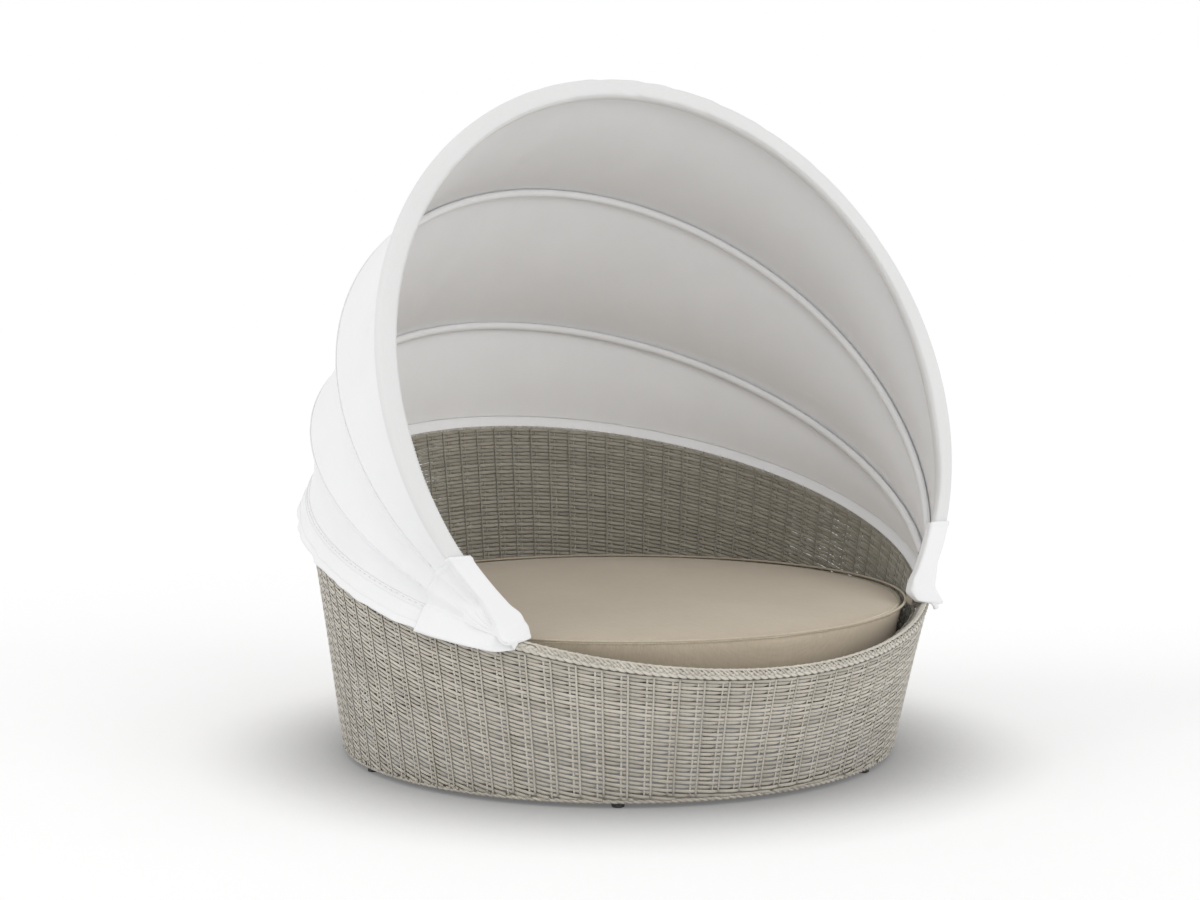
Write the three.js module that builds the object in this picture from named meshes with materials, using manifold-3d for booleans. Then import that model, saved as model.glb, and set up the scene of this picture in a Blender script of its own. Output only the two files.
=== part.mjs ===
// Round outdoor daybed: a woven basket on an aluminium frame, a slatted deck with a loose round
// cushion, and a fabric canopy on three bows that share one hinge pin on each side of the rim.
// Millimetres, +Z up, front towards -Y, origin on the floor under the centre of the basket.

import * as THREE from 'three';
import { mergeVertices } from 'three/addons/utils/BufferGeometryUtils.js';
import Module from 'manifold-3d';

const wasm = await Module();
wasm.setup();

// Driving sizes of the basket
const rimRadius = 872;
const wallFlare = 97;
const baseRadius = rimRadius - wallFlare;
const rimFrontHeight = 353;
const rimBackHeight = 871;
const weaveThickness = 5;
const wallBulgeShare = -0.135;
const ringSegments = 40;
const slotWidth = 64;
const slotHeight = 16;
const slotFirstDrop = 62;
const slotPitch = 72;
const slotFloor = 24;

// Driving sizes of the frame
const frameTube = 25;
const stayDepth = 16;
const stayWidth = 22;
const stayCount = 10;
const rimRingHeight = 24;
const postWidth = 20;
const postCount = 10;
const weldBite = 3;

// Driving sizes of the rim border
const borderWidth = 50;
const borderHeight = 26;
const borderCrown = 4;

// Driving sizes of the feet
const glideHeight = 10;
const glideRadius = 17;
const glideCount = 6;
const footScrewRadius = 3;
const footScrewGrip = 14;

// Driving sizes of the deck
const deckTop = 284;
const slatThickness = 8;
const slatWidth = 92;
const slatEndRoom = 94;
const slatCount = 9;
const slatBearing = 12;
const crossbarOffset = 270;

// Driving sizes of the cushion
const cushionSideGap = 4.5;
const cushionFootGap = 18;
const cushionSeamHeight = 428;
const cushionCrown = 20;
const cushionDrawIn = 7;
const coverThickness = 2;
const pipingRadius = 3.5;
const pipingLeanDegrees = 30;
const zipWidth = 22;
const zipThickness = 1.6;
const zipHalfAngle = 0.9;
const zipRiseShare = 0.45;
const cushionSegments = 36;

// Driving sizes of the hinge
const hingeDegrees = 48;
const hingeLift = 18;
const eyePitch = 16;
const eyeThickness = 5;
const pinRadius = 5;
const lugBoss = 5;
const spacerRadius = 9;
const lugThickness = 4;
const lugRadius = 13;
const plateThickness = 5;
const plateLength = 104;
const plateWidth = 15;
const plateBoltReach = 44;
const plateBoltRadius = 3;
const plateBoltGrip = 12;
const boltHeadHeight = 4;
const pinHeadHeight = 5;
const nutHeight = 6;
const roundSides = 12;
const coarseSides = 8;

// Driving sizes of the bows: how far the widest part stays inside the rim, reach from the hinge
// line to the top, lean, and the place of the eye on the pin
const frontBow = {
  rimInset: 24, reach: 1490.2, leanDegrees: 67.7, tube: 11, eyePitchShare: -1, clothStart: 290,
};
const midBow = {
  rimInset: 11, reach: 1512.5, leanDegrees: 47.1, tube: 7.5, eyePitchShare: 0, clothStart: 220,
};
const rearBow = {
  rimInset: 14, reach: 1535.6, leanDegrees: 27.3, tube: 7.5, eyePitchShare: 1, clothStart: 220,
};
const eyeHalfHeight = 13;
const flatHalfHeight = 8.5;
const eyeTail = 16;
const swingEnd = 70;
const flatEnd = 150;
const roundStart = 195;

// Driving sizes of the canopy cloth
const sleeveHalfWidth = 28;
const sleeveHalfDepth = 18;
const pocketWall = 2;
const clothThickness = 2.4;
const ridgeSlopeShare = 0.88;
const frontSag = 30;
const midSag = 34;
const rearSag = 16;
const foldDepth = 5;
const skirtDrop = 58;
const skirtFlare = 22;
const skirtStartSegments = 7;
const skirtRipple = 4;
const skirtRippleCount = 10;
const pouchReach = 285;
const pouchTip = 30;
const pouchDrop = 40;
const pouchStand = 6;

// Clearances
const fitGap = 0.3;
const skinGap = 0.8;
const clothGap = 0.8;
const pocketGap = 2;
const cutOver = 20;

// Colours
const beigeFrame = { color: 0xb9b1a2, roughness: 0.45, metalness: 0.6 };
const wovenFibre = { color: 0xcfc8ba, roughness: 0.7, metalness: 0 };
const whiteCloth = { color: 0xf1f1f2, roughness: 0.9, metalness: 0 };
const taupeCloth = { color: 0xa39784, roughness: 0.9, metalness: 0 };
const foamBlock = { color: 0xe9e2cf, roughness: 0.95, metalness: 0 };
const darkPlastic = { color: 0x3a3a3a, roughness: 0.6, metalness: 0 };
const bareSteel = { color: 0xb8babd, roughness: 0.3, metalness: 1 };

const radiansPerDegree = Math.PI / 180;
const fullTurn = 2 * Math.PI;
const sides = { left: -1, right: 1 };

const daybed = new THREE.Group();

function addPiece(name, geometry, finish) {
  const mesh = new THREE.Mesh(geometry, new THREE.MeshStandardMaterial(finish));
  mesh.name = name;
  daybed.add(mesh);
  return mesh;
}

// Small helpers for numbers

function mix(low, high, share) {
  return low + (high - low) * share;
}

function easeShare(share) {
  const bounded = Math.min(Math.max(share, 0), 1);
  return bounded * bounded * (3 - 2 * bounded);
}

// Zero at both ends and one in the middle.
function archShare(share) {
  return 4 * share * (1 - share);
}

function countTo(count, make) {
  return Array.from({ length: count }, (unused, index) => make(index));
}

function stepsBetween(low, high, steps) {
  return countTo(steps + 1, (index) => mix(low, high, index / steps));
}

// Closed bodies from rings and grids of points

function bodyFrom(points, triangles) {
  const volume = triangles.reduce((sum, [a, b, c]) => {
    const across = new THREE.Vector3().crossVectors(points[b], points[c]);
    return sum + points[a].dot(across);
  }, 0);
  const outward = volume < 0 ? triangles.map(([a, b, c]) => [a, c, b]) : triangles;
  const geometry = new THREE.BufferGeometry();
  const flat = points.flatMap((point) => point.toArray());
  geometry.setAttribute('position', new THREE.Float32BufferAttribute(flat, 3));
  geometry.setIndex(outward.flat());
  geometry.computeVertexNormals();
  return geometry;
}

function bandTriangles(lowStart, highStart, count, wraps) {
  const last = wraps ? count : count - 1;
  return countTo(last, (index) => {
    const next = (index + 1) % count;
    const corners = [lowStart + index, lowStart + next, highStart + next, highStart + index];
    return [[corners[0], corners[1], corners[2]], [corners[0], corners[2], corners[3]]];
  }).flat();
}

// Rings joined one after another; the last joins the first when the path is closed.
function loft(rings, closedPath) {
  const count = rings[0].length;
  const triangles = [];
  const bands = closedPath ? rings.length : rings.length - 1;
  for (let band = 0; band < bands; band += 1) {
    const next = (band + 1) % rings.length;
    triangles.push(...bandTriangles(band * count, next * count, count, true));
  }
  if (!closedPath) {
    const lastStart = (rings.length - 1) * count;
    for (let corner = 1; corner < count - 1; corner += 1) {
      triangles.push([0, corner + 1, corner]);
      triangles.push([lastStart, lastStart + corner, lastStart + corner + 1]);
    }
  }
  return bodyFrom(rings.flat(), triangles);
}

// A tube whose wall lies between outer and inner rings, open at both ends.
function hollowLoft(outerRings, innerRings) {
  const outerCount = outerRings[0].length;
  const innerCount = innerRings[0].length;
  const innerBase = outerRings.length * outerCount;
  const lastBand = outerRings.length - 1;
  const triangles = [];
  for (let band = 0; band < lastBand; band += 1) {
    const outerStart = band * outerCount;
    const innerStart = innerBase + band * innerCount;
    triangles.push(...bandTriangles(outerStart, outerStart + outerCount, outerCount, true));
    triangles.push(...bandTriangles(innerStart + innerCount, innerStart, innerCount, true));
  }
  triangles.push(...bandTriangles(innerBase, 0, outerCount, true));
  const lastInner = innerBase + lastBand * innerCount;
  triangles.push(...bandTriangles(lastBand * outerCount, lastInner, outerCount, true));
  return bodyFrom([...outerRings.flat(), ...innerRings.flat()], triangles);
}

function gridNormal(grid, row, column) {
  const rowBefore = grid[Math.max(row - 1, 0)][column];
  const rowAfter = grid[Math.min(row + 1, grid.length - 1)][column];
  const columnBefore = grid[row][Math.max(column - 1, 0)];
  const columnAfter = grid[row][Math.min(column + 1, grid[row].length - 1)];
  const alongRows = new THREE.Vector3().subVectors(rowAfter, rowBefore);
  const alongColumns = new THREE.Vector3().subVectors(columnAfter, columnBefore);
  return alongRows.cross(alongColumns).normalize();
}

// A closed sheet of even thickness on both sides of a grid of points.
function sheet(grid, thickness) {
  const half = thickness / 2;
  const columns = grid[0].length;
  const faces = [half, -half].map((offset) => grid.map((points, row) => (
    points.map((point, column) => (
      point.clone().addScaledVector(gridNormal(grid, row, column), offset)
    ))
  )));
  const rings = grid.map((points, row) => [...faces[0][row], ...faces[1][row].toReversed()]);
  const count = columns * 2;
  const triangles = [];
  for (let row = 0; row < grid.length - 1; row += 1) {
    triangles.push(...bandTriangles(row * count, (row + 1) * count, count, true));
  }
  for (const [start, flips] of [[0, true], [(grid.length - 1) * count, false]]) {
    for (let column = 0; column < columns - 1; column += 1) {
      const near = start + column;
      const far = start + count - 1 - column;
      const pair = [[near, near + 1, far - 1], [near, far - 1, far]];
      triangles.push(...pair.map(([a, b, c]) => (flips ? [a, c, b] : [a, b, c])));
    }
  }
  return bodyFrom(rings.flat(), triangles);
}

// Booleans

function toManifold(geometry) {
  const bare = geometry.clone();
  bare.deleteAttribute('normal');
  bare.deleteAttribute('uv');
  const merged = mergeVertices(bare);
  return new wasm.Manifold(new wasm.Mesh({
    numProp: 3,
    vertProperties: new Float32Array(merged.attributes.position.array),
    triVerts: new Uint32Array(merged.index.array),
  }));
}

function fromManifold(solid) {
  const mesh = solid.getMesh();
  const geometry = new THREE.BufferGeometry();
  geometry.setAttribute('position', new THREE.Float32BufferAttribute(mesh.vertProperties, 3));
  geometry.setIndex(Array.from(mesh.triVerts));
  geometry.computeVertexNormals();
  return geometry;
}

function cutFrom(geometry, tools) {
  return fromManifold(tools.reduce(
    (solid, tool) => solid.subtract(toManifold(tool)),
    toManifold(geometry),
  ));
}

function lowestY(geometry) {
  geometry.computeBoundingBox();
  return geometry.boundingBox.min.y;
}

function joinAll(geometries) {
  return fromManifold(geometries.map(toManifold).reduce((whole, next) => whole.add(next)));
}

function placed(geometry, position, rotation) {
  const turn = new THREE.Quaternion();
  if (rotation) {
    turn.setFromEuler(rotation);
  }
  const unit = new THREE.Vector3(1, 1, 1);
  return geometry.clone().applyMatrix4(new THREE.Matrix4().compose(position, turn, unit));
}

function box(width, depth, height) {
  return new THREE.BoxGeometry(width, depth, height);
}

// An upright round body from a list of [radius, height] pairs.
function turned(outline, segments) {
  const points = outline.map(([radius, height]) => new THREE.Vector2(radius, height));
  const body = new THREE.LatheGeometry(points, segments);
  body.deleteAttribute('uv');
  body.deleteAttribute('normal');
  const upright = mergeVertices(body).rotateX(Math.PI / 2);
  const points3 = [];
  for (let index = 0; index < upright.attributes.position.count; index += 1) {
    points3.push(new THREE.Vector3().fromBufferAttribute(upright.attributes.position, index));
  }
  const triangles = [];
  for (let start = 0; start < upright.index.count; start += 3) {
    const [a, b, c] = [0, 1, 2].map((corner) => upright.index.getX(start + corner));
    if (a !== b && b !== c && c !== a) {
      triangles.push([a, b, c]);
    }
  }
  return bodyFrom(points3, triangles);
}

// A ring between two radii has a closed outline.
function turnedRing(innerRadius, outerRadius, low, high, segments) {
  return turned([
    [innerRadius, low],
    [outerRadius, low],
    [outerRadius, high],
    [innerRadius, high],
    [innerRadius, low],
  ], segments);
}

// The basket wall: the angle is zero at the front and grows towards +X.

const rimMidHeight = (rimFrontHeight + rimBackHeight) / 2;
const rimSlope = (rimBackHeight - rimFrontHeight) / (2 * rimRadius);
const rimTilt = Math.atan(rimSlope);
const segmentAngle = fullTurn / ringSegments;
const solvePassCount = 40;

function around(angle, radius, height) {
  return new THREE.Vector3(radius * Math.sin(angle), -radius * Math.cos(angle), height);
}

function rimPlaneAt(y) {
  return rimMidHeight + rimSlope * y;
}

function rimPoint(angle, radius, rise) {
  return around(angle, radius, rimPlaneAt(-radius * Math.cos(angle)) + rise);
}

function wallHeight(angle) {
  return rimPlaneAt(-rimRadius * Math.cos(angle));
}

// Radius of the outer face of the basket at a height.
function wallRadius(angle, height) {
  const share = height / wallHeight(angle);
  const bulge = wallBulgeShare * share * (1 - share);
  return mix(baseRadius, rimRadius, share + bulge);
}

const borderDrop = borderHeight - borderCrown;
const stayFace = weaveThickness + skinGap;
const stayBack = stayFace + stayDepth;
const innerFace = stayBack + skinGap;
const skinTopDrop = borderDrop + fitGap;
const rimRingBottomDrop = skinTopDrop + rimRingHeight;
const frameBottom = glideHeight + fitGap;
const deckRingTop = deckTop - slatThickness - fitGap;
const deckRingBottom = deckRingTop - frameTube;
const postBottom = frameBottom + frameTube + fitGap;

function ringAngles(count) {
  return countTo(count, (index) => index * fullTurn / count);
}

// A ring that goes all the way round: the section gives [depth behind the outer face, height].
function wallRing(section) {
  return loft(ringAngles(ringSegments).map((angle) => section(angle).map(([depth, height]) => (
    around(angle, wallRadius(angle, height) - depth, height)
  ))), true);
}

// Height where a layer of the wall, some depth behind its face, meets a plane under the rim.
function wallTop(angle, depth, drop) {
  let height = wallHeight(angle) - drop;
  for (let pass = 0; pass < solvePassCount; pass += 1) {
    const radius = wallRadius(angle, height) - depth;
    height = rimPlaneAt(-radius * Math.cos(angle)) - drop;
  }
  return height;
}

function skin(depth, lowHeight, rowShares) {
  return wallRing((angle) => {
    const face = (back) => {
      const top = wallTop(angle, back, skinTopDrop);
      return rowShares.map((share) => [back, mix(lowHeight, top, share)]);
    };
    return [...face(depth), ...face(depth + weaveThickness).toReversed()];
  });
}

const outerRowShares = [0, 0.35, 0.7, 1];
const innerRowShares = [0, 0.5, 1];

function squareRing(depth, low, high, width) {
  return wallRing(() => [[depth, low], [depth, high], [depth + width, high], [depth + width, low]]);
}

// Slots in rows that lie parallel to the rim, in every second flat of the wall.
function weaveSlots() {
  const slot = box(slotWidth, 2 * (stayFace - clothGap), slotHeight);
  const columns = countTo(ringSegments / 2, (index) => (2 * index + 3 / 2) * segmentAngle);
  return columns.flatMap((angle) => {
    const slope = Math.atan(rimSlope * Math.sin(angle));
    const room = wallHeight(angle) - slotFirstDrop - frameBottom - frameTube - slotFloor;
    return countTo(Math.floor(room / slotPitch) + 1, (row) => {
      const height = wallTop(angle, 0, slotFirstDrop + row * slotPitch);
      const radius = wallRadius(angle, height) * Math.cos(segmentAngle / 2);
      const level = placed(slot, new THREE.Vector3(), new THREE.Euler(0, -slope, 0));
      return placed(level, around(angle, radius, height), new THREE.Euler(0, 0, angle));
    });
  });
}

function buildWall() {
  const outerSkin = skin(0, frameBottom, outerRowShares);
  addPiece('outer_weave', cutFrom(outerSkin, weaveSlots()), wovenFibre);
  addPiece('inner_weave', skin(innerFace, deckRingTop + fitGap, innerRowShares), wovenFibre);
}

// Feet: glides screwed up into the base ring of the frame.

function footAngle(index) {
  return (index + 1 / 2) * fullTurn / glideCount;
}

const footRadius = baseRadius - stayFace - frameTube / 2;
const footSpots = countTo(glideCount, (index) => around(footAngle(index), footRadius, 0));

function buildFeet() {
  const wellRadius = (footScrewRadius * 2 + fitGap) / Math.cos(Math.PI / coarseSides);
  const wellDepth = glideHeight / 2;
  const glideBore = footScrewRadius + fitGap;
  const chamfer = glideHeight / 5;
  const glide = turned([
    [glideBore, wellDepth],
    [wellRadius, wellDepth],
    [wellRadius, 0],
    [glideRadius - chamfer, 0],
    [glideRadius, chamfer],
    [glideRadius, glideHeight],
    [glideBore, glideHeight],
    [glideBore, wellDepth],
  ], coarseSides);
  const headLow = wellDepth - fitGap - footScrewRadius;
  const screwTop = glideHeight + footScrewGrip;
  const screw = turned([
    [0, headLow],
    [footScrewRadius * 2, headLow],
    [footScrewRadius * 2, wellDepth - fitGap],
    [footScrewRadius, wellDepth - fitGap],
    [footScrewRadius, screwTop],
    [0, screwTop],
  ], roundSides / 2);
  footSpots.forEach((spot, index) => {
    addPiece(`floor_glide_${index + 1}`, placed(glide, spot), darkPlastic);
    addPiece(`glide_screw_${index + 1}`, placed(screw, spot), bareSteel);
  });
}

// Frame: base ring, stays and rim ring welded into one cage, and a deck frame that stands in it.

// A bar between two heights of the wall, square in section.
function wallBar(angle, depth, barDepth, barWidth, heights) {
  const across = new THREE.Vector3(Math.cos(angle), Math.sin(angle), 0);
  const flatShare = Math.cos(segmentAngle / 2);
  return loft(heights.map((height) => {
    const face = (wallRadius(angle, height) - depth) * flatShare;
    return [[0, -1], [0, 1], [barDepth, 1], [barDepth, -1]].map(([back, sideways]) => (
      around(angle, face - back, height).addScaledVector(across, sideways * barWidth / 2)
    ));
  }), false);
}

const stayHeightShares = [0, 0.35, 0.7, 1];
function buildFrame(ringDrills) {
  const baseRing = squareRing(stayFace, frameBottom, frameBottom + frameTube, frameTube);
  const segmentsPerStay = ringSegments / stayCount;
  const stays = countTo(stayCount, (index) => {
    const angle = (index * segmentsPerStay + 1 / 2) * segmentAngle;
    const low = frameBottom + frameTube - weldBite;
    const top = wallHeight(angle) - rimRingBottomDrop + weldBite;
    const heights = stayHeightShares.map((share) => mix(low, top, share));
    return wallBar(angle, stayFace + fitGap, stayDepth - 2 * fitGap, stayWidth, heights);
  });
  const rimRing = wallRing((angle) => [
    [stayFace, wallTop(angle, stayFace, rimRingBottomDrop)],
    [stayFace, wallTop(angle, stayFace, skinTopDrop)],
    [stayBack, wallTop(angle, stayBack, skinTopDrop)],
    [stayBack, wallTop(angle, stayBack, rimRingBottomDrop)],
  ]);
  const drillRadius = footScrewRadius + fitGap;
  const drill = new THREE.CylinderGeometry(
    drillRadius, drillRadius, 2 * footScrewGrip, roundSides / 2,
  ).rotateX(Math.PI / 2);
  const footHoles = footSpots.map((spot) => placed(drill, spot.clone().setZ(frameBottom)));
  const cage = joinAll([baseRing, rimRing, ...stays]);
  addPiece('basket_frame', cutFrom(cage, [...footHoles, ...ringDrills]), beigeFrame);
}

// Deck frame: a ring, two crossbars level with it, and posts that stand on the base ring.

const deckDepth = stayBack + skinGap;

function deckRadiusAt(x, y) {
  return wallRadius(Math.atan2(x, -y), deckRingTop) - deckDepth;
}

// Half length of a straight piece that lies along one axis and stays inside the deck ring.
function halfChord(offset, inset, alongY) {
  let reach = baseRadius;
  for (const end of [-1, 1]) {
    let low = 0;
    let high = rimRadius;
    for (let pass = 0; pass < solvePassCount; pass += 1) {
      const middle = (low + high) / 2;
      const x = alongY ? offset : end * middle;
      const y = alongY ? end * middle : offset;
      const inside = Math.hypot(x, y) < deckRadiusAt(x, y) - inset;
      low = inside ? middle : low;
      high = inside ? high : middle;
    }
    reach = Math.min(reach, low);
  }
  return reach;
}

function buildDeck() {
  const deckRing = squareRing(deckDepth, deckRingBottom, deckRingTop, frameTube);
  const betweenStays = (ringSegments / stayCount + 1) / 2;
  const posts = countTo(postCount, (index) => {
    const angle = (index * ringSegments / postCount + betweenStays) * segmentAngle;
    const across = new THREE.Vector3(Math.cos(angle), Math.sin(angle), 0);
    const shoulder = (frameTube - postWidth) / 2;
    const ends = [
      [baseRadius - stayFace - shoulder, postBottom],
      [deckRadiusAt(Math.sin(angle), -Math.cos(angle)) - shoulder, deckRingBottom + weldBite],
    ];
    return loft(ends.map(([face, height]) => (
      [[0, -1], [0, 1], [postWidth, 1], [postWidth, -1]].map(([back, sideways]) => (
        around(angle, face - back, height).addScaledVector(across, sideways * postWidth / 2)
      ))
    )), false);
  });
  const barLength = 2 * halfChord(crossbarOffset, frameTube - weldBite, true);
  const barSize = frameTube - 2 * fitGap;
  const bars = [-1, 1].map((side) => placed(
    box(barSize, barLength, barSize),
    new THREE.Vector3(side * crossbarOffset, 0, deckRingTop - frameTube / 2),
  ));
  addPiece('deck_frame', joinAll([deckRing, ...posts, ...bars]), beigeFrame);

  const slatInset = frameTube - slatBearing;
  const outerSlat = deckRadiusAt(0, baseRadius) - slatEndRoom - slatWidth / 2;
  const slatPitch = 2 * outerSlat / (slatCount - 1);
  for (let index = 0; index < slatCount; index += 1) {
    const y = (index - (slatCount - 1) / 2) * slatPitch;
    const edge = Math.abs(y) + slatWidth / 2;
    const half = Math.min(halfChord(edge, slatInset, false), halfChord(-edge, slatInset, false));
    const slat = placed(
      box(2 * half, slatWidth, slatThickness),
      new THREE.Vector3(0, y, deckTop - slatThickness / 2),
    );
    addPiece(`deck_slat_${index + 1}`, slat, beigeFrame);
  }
}

// Rim: a rounded woven border in two stretches, with the hinge brackets between them.

const borderPointShares = [
  [-0.8, 0], [-1, 0.35], [-0.86, 0.7], [-0.48, 0.94], [0, 1],
  [0.48, 0.94], [0.86, 0.7], [1, 0.35], [0.8, 0],
];
const borderCentre = rimRadius - borderWidth / 2;

const hingeForward = borderCentre * Math.cos(hingeDegrees * radiansPerDegree);
const hingePinX = borderCentre * Math.sin(hingeDegrees * radiansPerDegree);
const hingeY = -hingeForward;
const hingeZ = rimPlaneAt(hingeY) + hingeLift;
const stackHalf = eyePitch + eyeThickness / 2 + fitGap;
const boreOver = 1 / Math.cos(Math.PI / roundSides);
const boreRadius = (pinRadius + fitGap) * boreOver;

// The bracket is drawn about the pin and then tilted with the rim.
function bracketFrame(side) {
  const group = new THREE.Group();
  group.position.set(side * hingePinX, hingeY, hingeZ);
  group.rotation.x = rimTilt;
  group.updateMatrix();
  return group.matrix;
}

const ringTopBelowPin = (hingeLift + skinTopDrop) * Math.cos(rimTilt);
const plateTop = plateThickness + fitGap - ringTopBelowPin;
const plateFacing = Math.atan2(hingePinX, hingeForward);

function plateCentre(side) {
  const matrix = bracketFrame(side).clone().invert();
  const ringDepth = stayFace + stayDepth / 2;
  const ringTop = wallTop(plateFacing, ringDepth, skinTopDrop);
  const ringRadius = wallRadius(plateFacing, ringTop) - ringDepth;
  const onRim = rimPoint(side * plateFacing, ringRadius, 0);
  return onRim.applyMatrix4(matrix).setZ(plateTop - plateThickness / 2);
}

function boltSpots(side) {
  const centre = plateCentre(side);
  return [-1, 1].map((end) => new THREE.Vector3(
    centre.x + end * plateBoltReach * Math.cos(plateFacing),
    centre.y + end * side * plateBoltReach * Math.sin(plateFacing),
    plateTop,
  ));
}

function alongX(geometry) {
  return geometry.rotateZ(-Math.PI / 2);
}

function buildHinges() {
  const pockets = [];
  const ringDrills = [];
  for (const [sideName, side] of Object.entries(sides)) {
    const matrix = bracketFrame(side);
    const centre = plateCentre(side);
    const turn = new THREE.Euler(0, 0, side * plateFacing);
    const foot = placed(box(plateLength, plateWidth, plateThickness), centre, turn);
    const bridgeWidth = 2 * (stackHalf + lugBoss + lugThickness);
    const bridge = placed(
      box(bridgeWidth, 2 * lugRadius, plateThickness),
      new THREE.Vector3(0, 0, plateTop - plateThickness / 2),
    );
    const lugOutline = new THREE.Shape();
    lugOutline.moveTo(-lugRadius, plateTop - plateThickness);
    lugOutline.lineTo(lugRadius, plateTop - plateThickness);
    lugOutline.lineTo(lugRadius, 0);
    lugOutline.absarc(0, 0, lugRadius, 0, Math.PI, false);
    lugOutline.closePath();
    const pinHole = new THREE.Path();
    pinHole.absarc(0, 0, boreRadius, 0, fullTurn, true);
    lugOutline.holes.push(pinHole);
    const lug = new THREE.ExtrudeGeometry(lugOutline, {
      depth: lugThickness, bevelEnabled: false, curveSegments: roundSides / 2,
    });
    lug.applyMatrix4(new THREE.Matrix4().makeBasis(
      new THREE.Vector3(0, 1, 0), new THREE.Vector3(0, 0, 1), new THREE.Vector3(1, 0, 0),
    ));
    const lugStart = stackHalf + lugBoss;
    const lugs = [lugStart, -lugStart - lugThickness].map((x) => (
      placed(lug, new THREE.Vector3(x, 0, 0))
    ));
    const boss = turnedRing(boreRadius, spacerRadius, 0, lugBoss + lugThickness / 2, roundSides)
      .rotateY(Math.PI / 2);
    const bosses = [stackHalf, -stackHalf - lugBoss - lugThickness / 2].map((x) => (
      placed(boss, new THREE.Vector3(x, 0, 0))
    ));
    const holeSize = plateBoltRadius + fitGap;
    const drill = new THREE.CylinderGeometry(holeSize, holeSize, 2 * cutOver, roundSides / 2)
      .rotateX(Math.PI / 2);
    const holes = boltSpots(side).map((spot) => placed(drill, spot));
    const bracket = cutFrom(joinAll([foot, bridge, ...lugs, ...bosses]), holes);
    addPiece(`pivot_bracket_${sideName}`, bracket.applyMatrix4(matrix), beigeFrame);

    const pinHalf = stackHalf + lugBoss + lugThickness + fitGap;
    const pin = alongX(turned([
      [0, -pinHalf - pinHeadHeight],
      [pinRadius * 2, -pinHalf - pinHeadHeight],
      [pinRadius * 2, -pinHalf],
      [pinRadius, -pinHalf],
      [pinRadius, pinHalf + nutHeight],
      [0, pinHalf + nutHeight],
    ], roundSides).rotateX(-Math.PI / 2));
    if (side < 0) {
      pin.rotateZ(Math.PI);
    }
    addPiece(`pivot_pin_${sideName}`, pin.applyMatrix4(matrix), bareSteel);

    const nutSides = 6;
    const nutRadius = pinRadius * 2;
    const nutOutline = new THREE.Shape(countTo(nutSides, (corner) => {
      const angle = corner * fullTurn / nutSides;
      return new THREE.Vector2(nutRadius * Math.cos(angle), nutRadius * Math.sin(angle));
    }));
    nutOutline.holes.push(new THREE.Path().absarc(0, 0, boreRadius, 0, fullTurn, true));
    const nut = new THREE.ExtrudeGeometry(nutOutline, {
      depth: nutHeight, bevelEnabled: false, curveSegments: roundSides,
    }).rotateY(Math.PI / 2);
    const nutPlace = side > 0 ? pinHalf : -pinHalf - nutHeight;
    const nutBody = placed(nut, new THREE.Vector3(nutPlace, 0, 0)).applyMatrix4(matrix);
    addPiece(`pivot_nut_${sideName}`, nutBody, bareSteel);

    const spacerLength = eyePitch - eyeThickness - 2 * fitGap;
    const spacer = turnedRing(boreRadius, spacerRadius, 0, spacerLength, roundSides)
      .rotateY(Math.PI / 2);
    const spacerStarts = {
      inner: eyeThickness / 2 + fitGap - eyePitch,
      outer: eyeThickness / 2 + fitGap,
    };
    for (const [place, start] of Object.entries(spacerStarts)) {
      const body = placed(spacer, new THREE.Vector3(start, 0, 0)).applyMatrix4(matrix);
      addPiece(`pivot_spacer_${sideName}_${place}`, body, darkPlastic);
    }

    const bolt = turned([
      [0, fitGap + boltHeadHeight],
      [plateBoltRadius * 2, fitGap + boltHeadHeight],
      [plateBoltRadius * 2, fitGap],
      [plateBoltRadius, fitGap],
      [plateBoltRadius, -plateThickness - plateBoltGrip],
      [0, -plateThickness - plateBoltGrip],
    ], roundSides / 2);
    boltSpots(side).forEach((spot, index) => {
      const body = placed(bolt, spot).applyMatrix4(matrix);
      addPiece(`bracket_bolt_${sideName}_${index + 1}`, body, bareSteel);
    });

    const pocketLow = plateTop - plateThickness - cutOver;
    const footPocketHigh = plateTop + boltHeadHeight + pocketGap;
    const footPocket = placed(
      box(plateLength + 2 * pocketGap, plateWidth + 2 * pocketGap, footPocketHigh - pocketLow),
      centre.clone().setZ((footPocketHigh + pocketLow) / 2),
      turn,
    );
    const pocketHigh = lugRadius + cutOver;
    const lugPocket = placed(
      box(
        bridgeWidth + 2 * (pinHeadHeight + nutHeight + pocketGap),
        2 * (lugRadius + eyeTail / 2),
        pocketHigh - pocketLow,
      ),
      new THREE.Vector3(0, 0, (pocketHigh + pocketLow) / 2),
    );
    pockets.push(footPocket.applyMatrix4(matrix), lugPocket.applyMatrix4(matrix));
    ringDrills.push(...holes.map((hole) => hole.clone().applyMatrix4(matrix)));
  }
  const border = loft(ringAngles(ringSegments).map((angle) => (
    borderPointShares.map(([outShare, riseShare]) => rimPoint(
      angle, borderCentre + outShare * borderWidth / 2, riseShare * borderHeight - borderDrop,
    ))
  )), true);
  const stretches = pockets
    .reduce((solid, tool) => solid.subtract(toManifold(tool)), toManifold(border))
    .decompose()
    .sort((one, other) => other.volume() - one.volume())
    .slice(0, Object.keys(sides).length)
    .map(fromManifold)
    .sort((one, other) => lowestY(one) - lowestY(other));
  addPiece('rim_weave_front', stretches[0], wovenFibre);
  addPiece('rim_weave_back', stretches[1], wovenFibre);
  return ringDrills;
}

// Cushion: a foam core in a boxed cover, with piping on the top seam and a zip at the back.

const cushionBottom = deckTop + fitGap;

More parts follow.
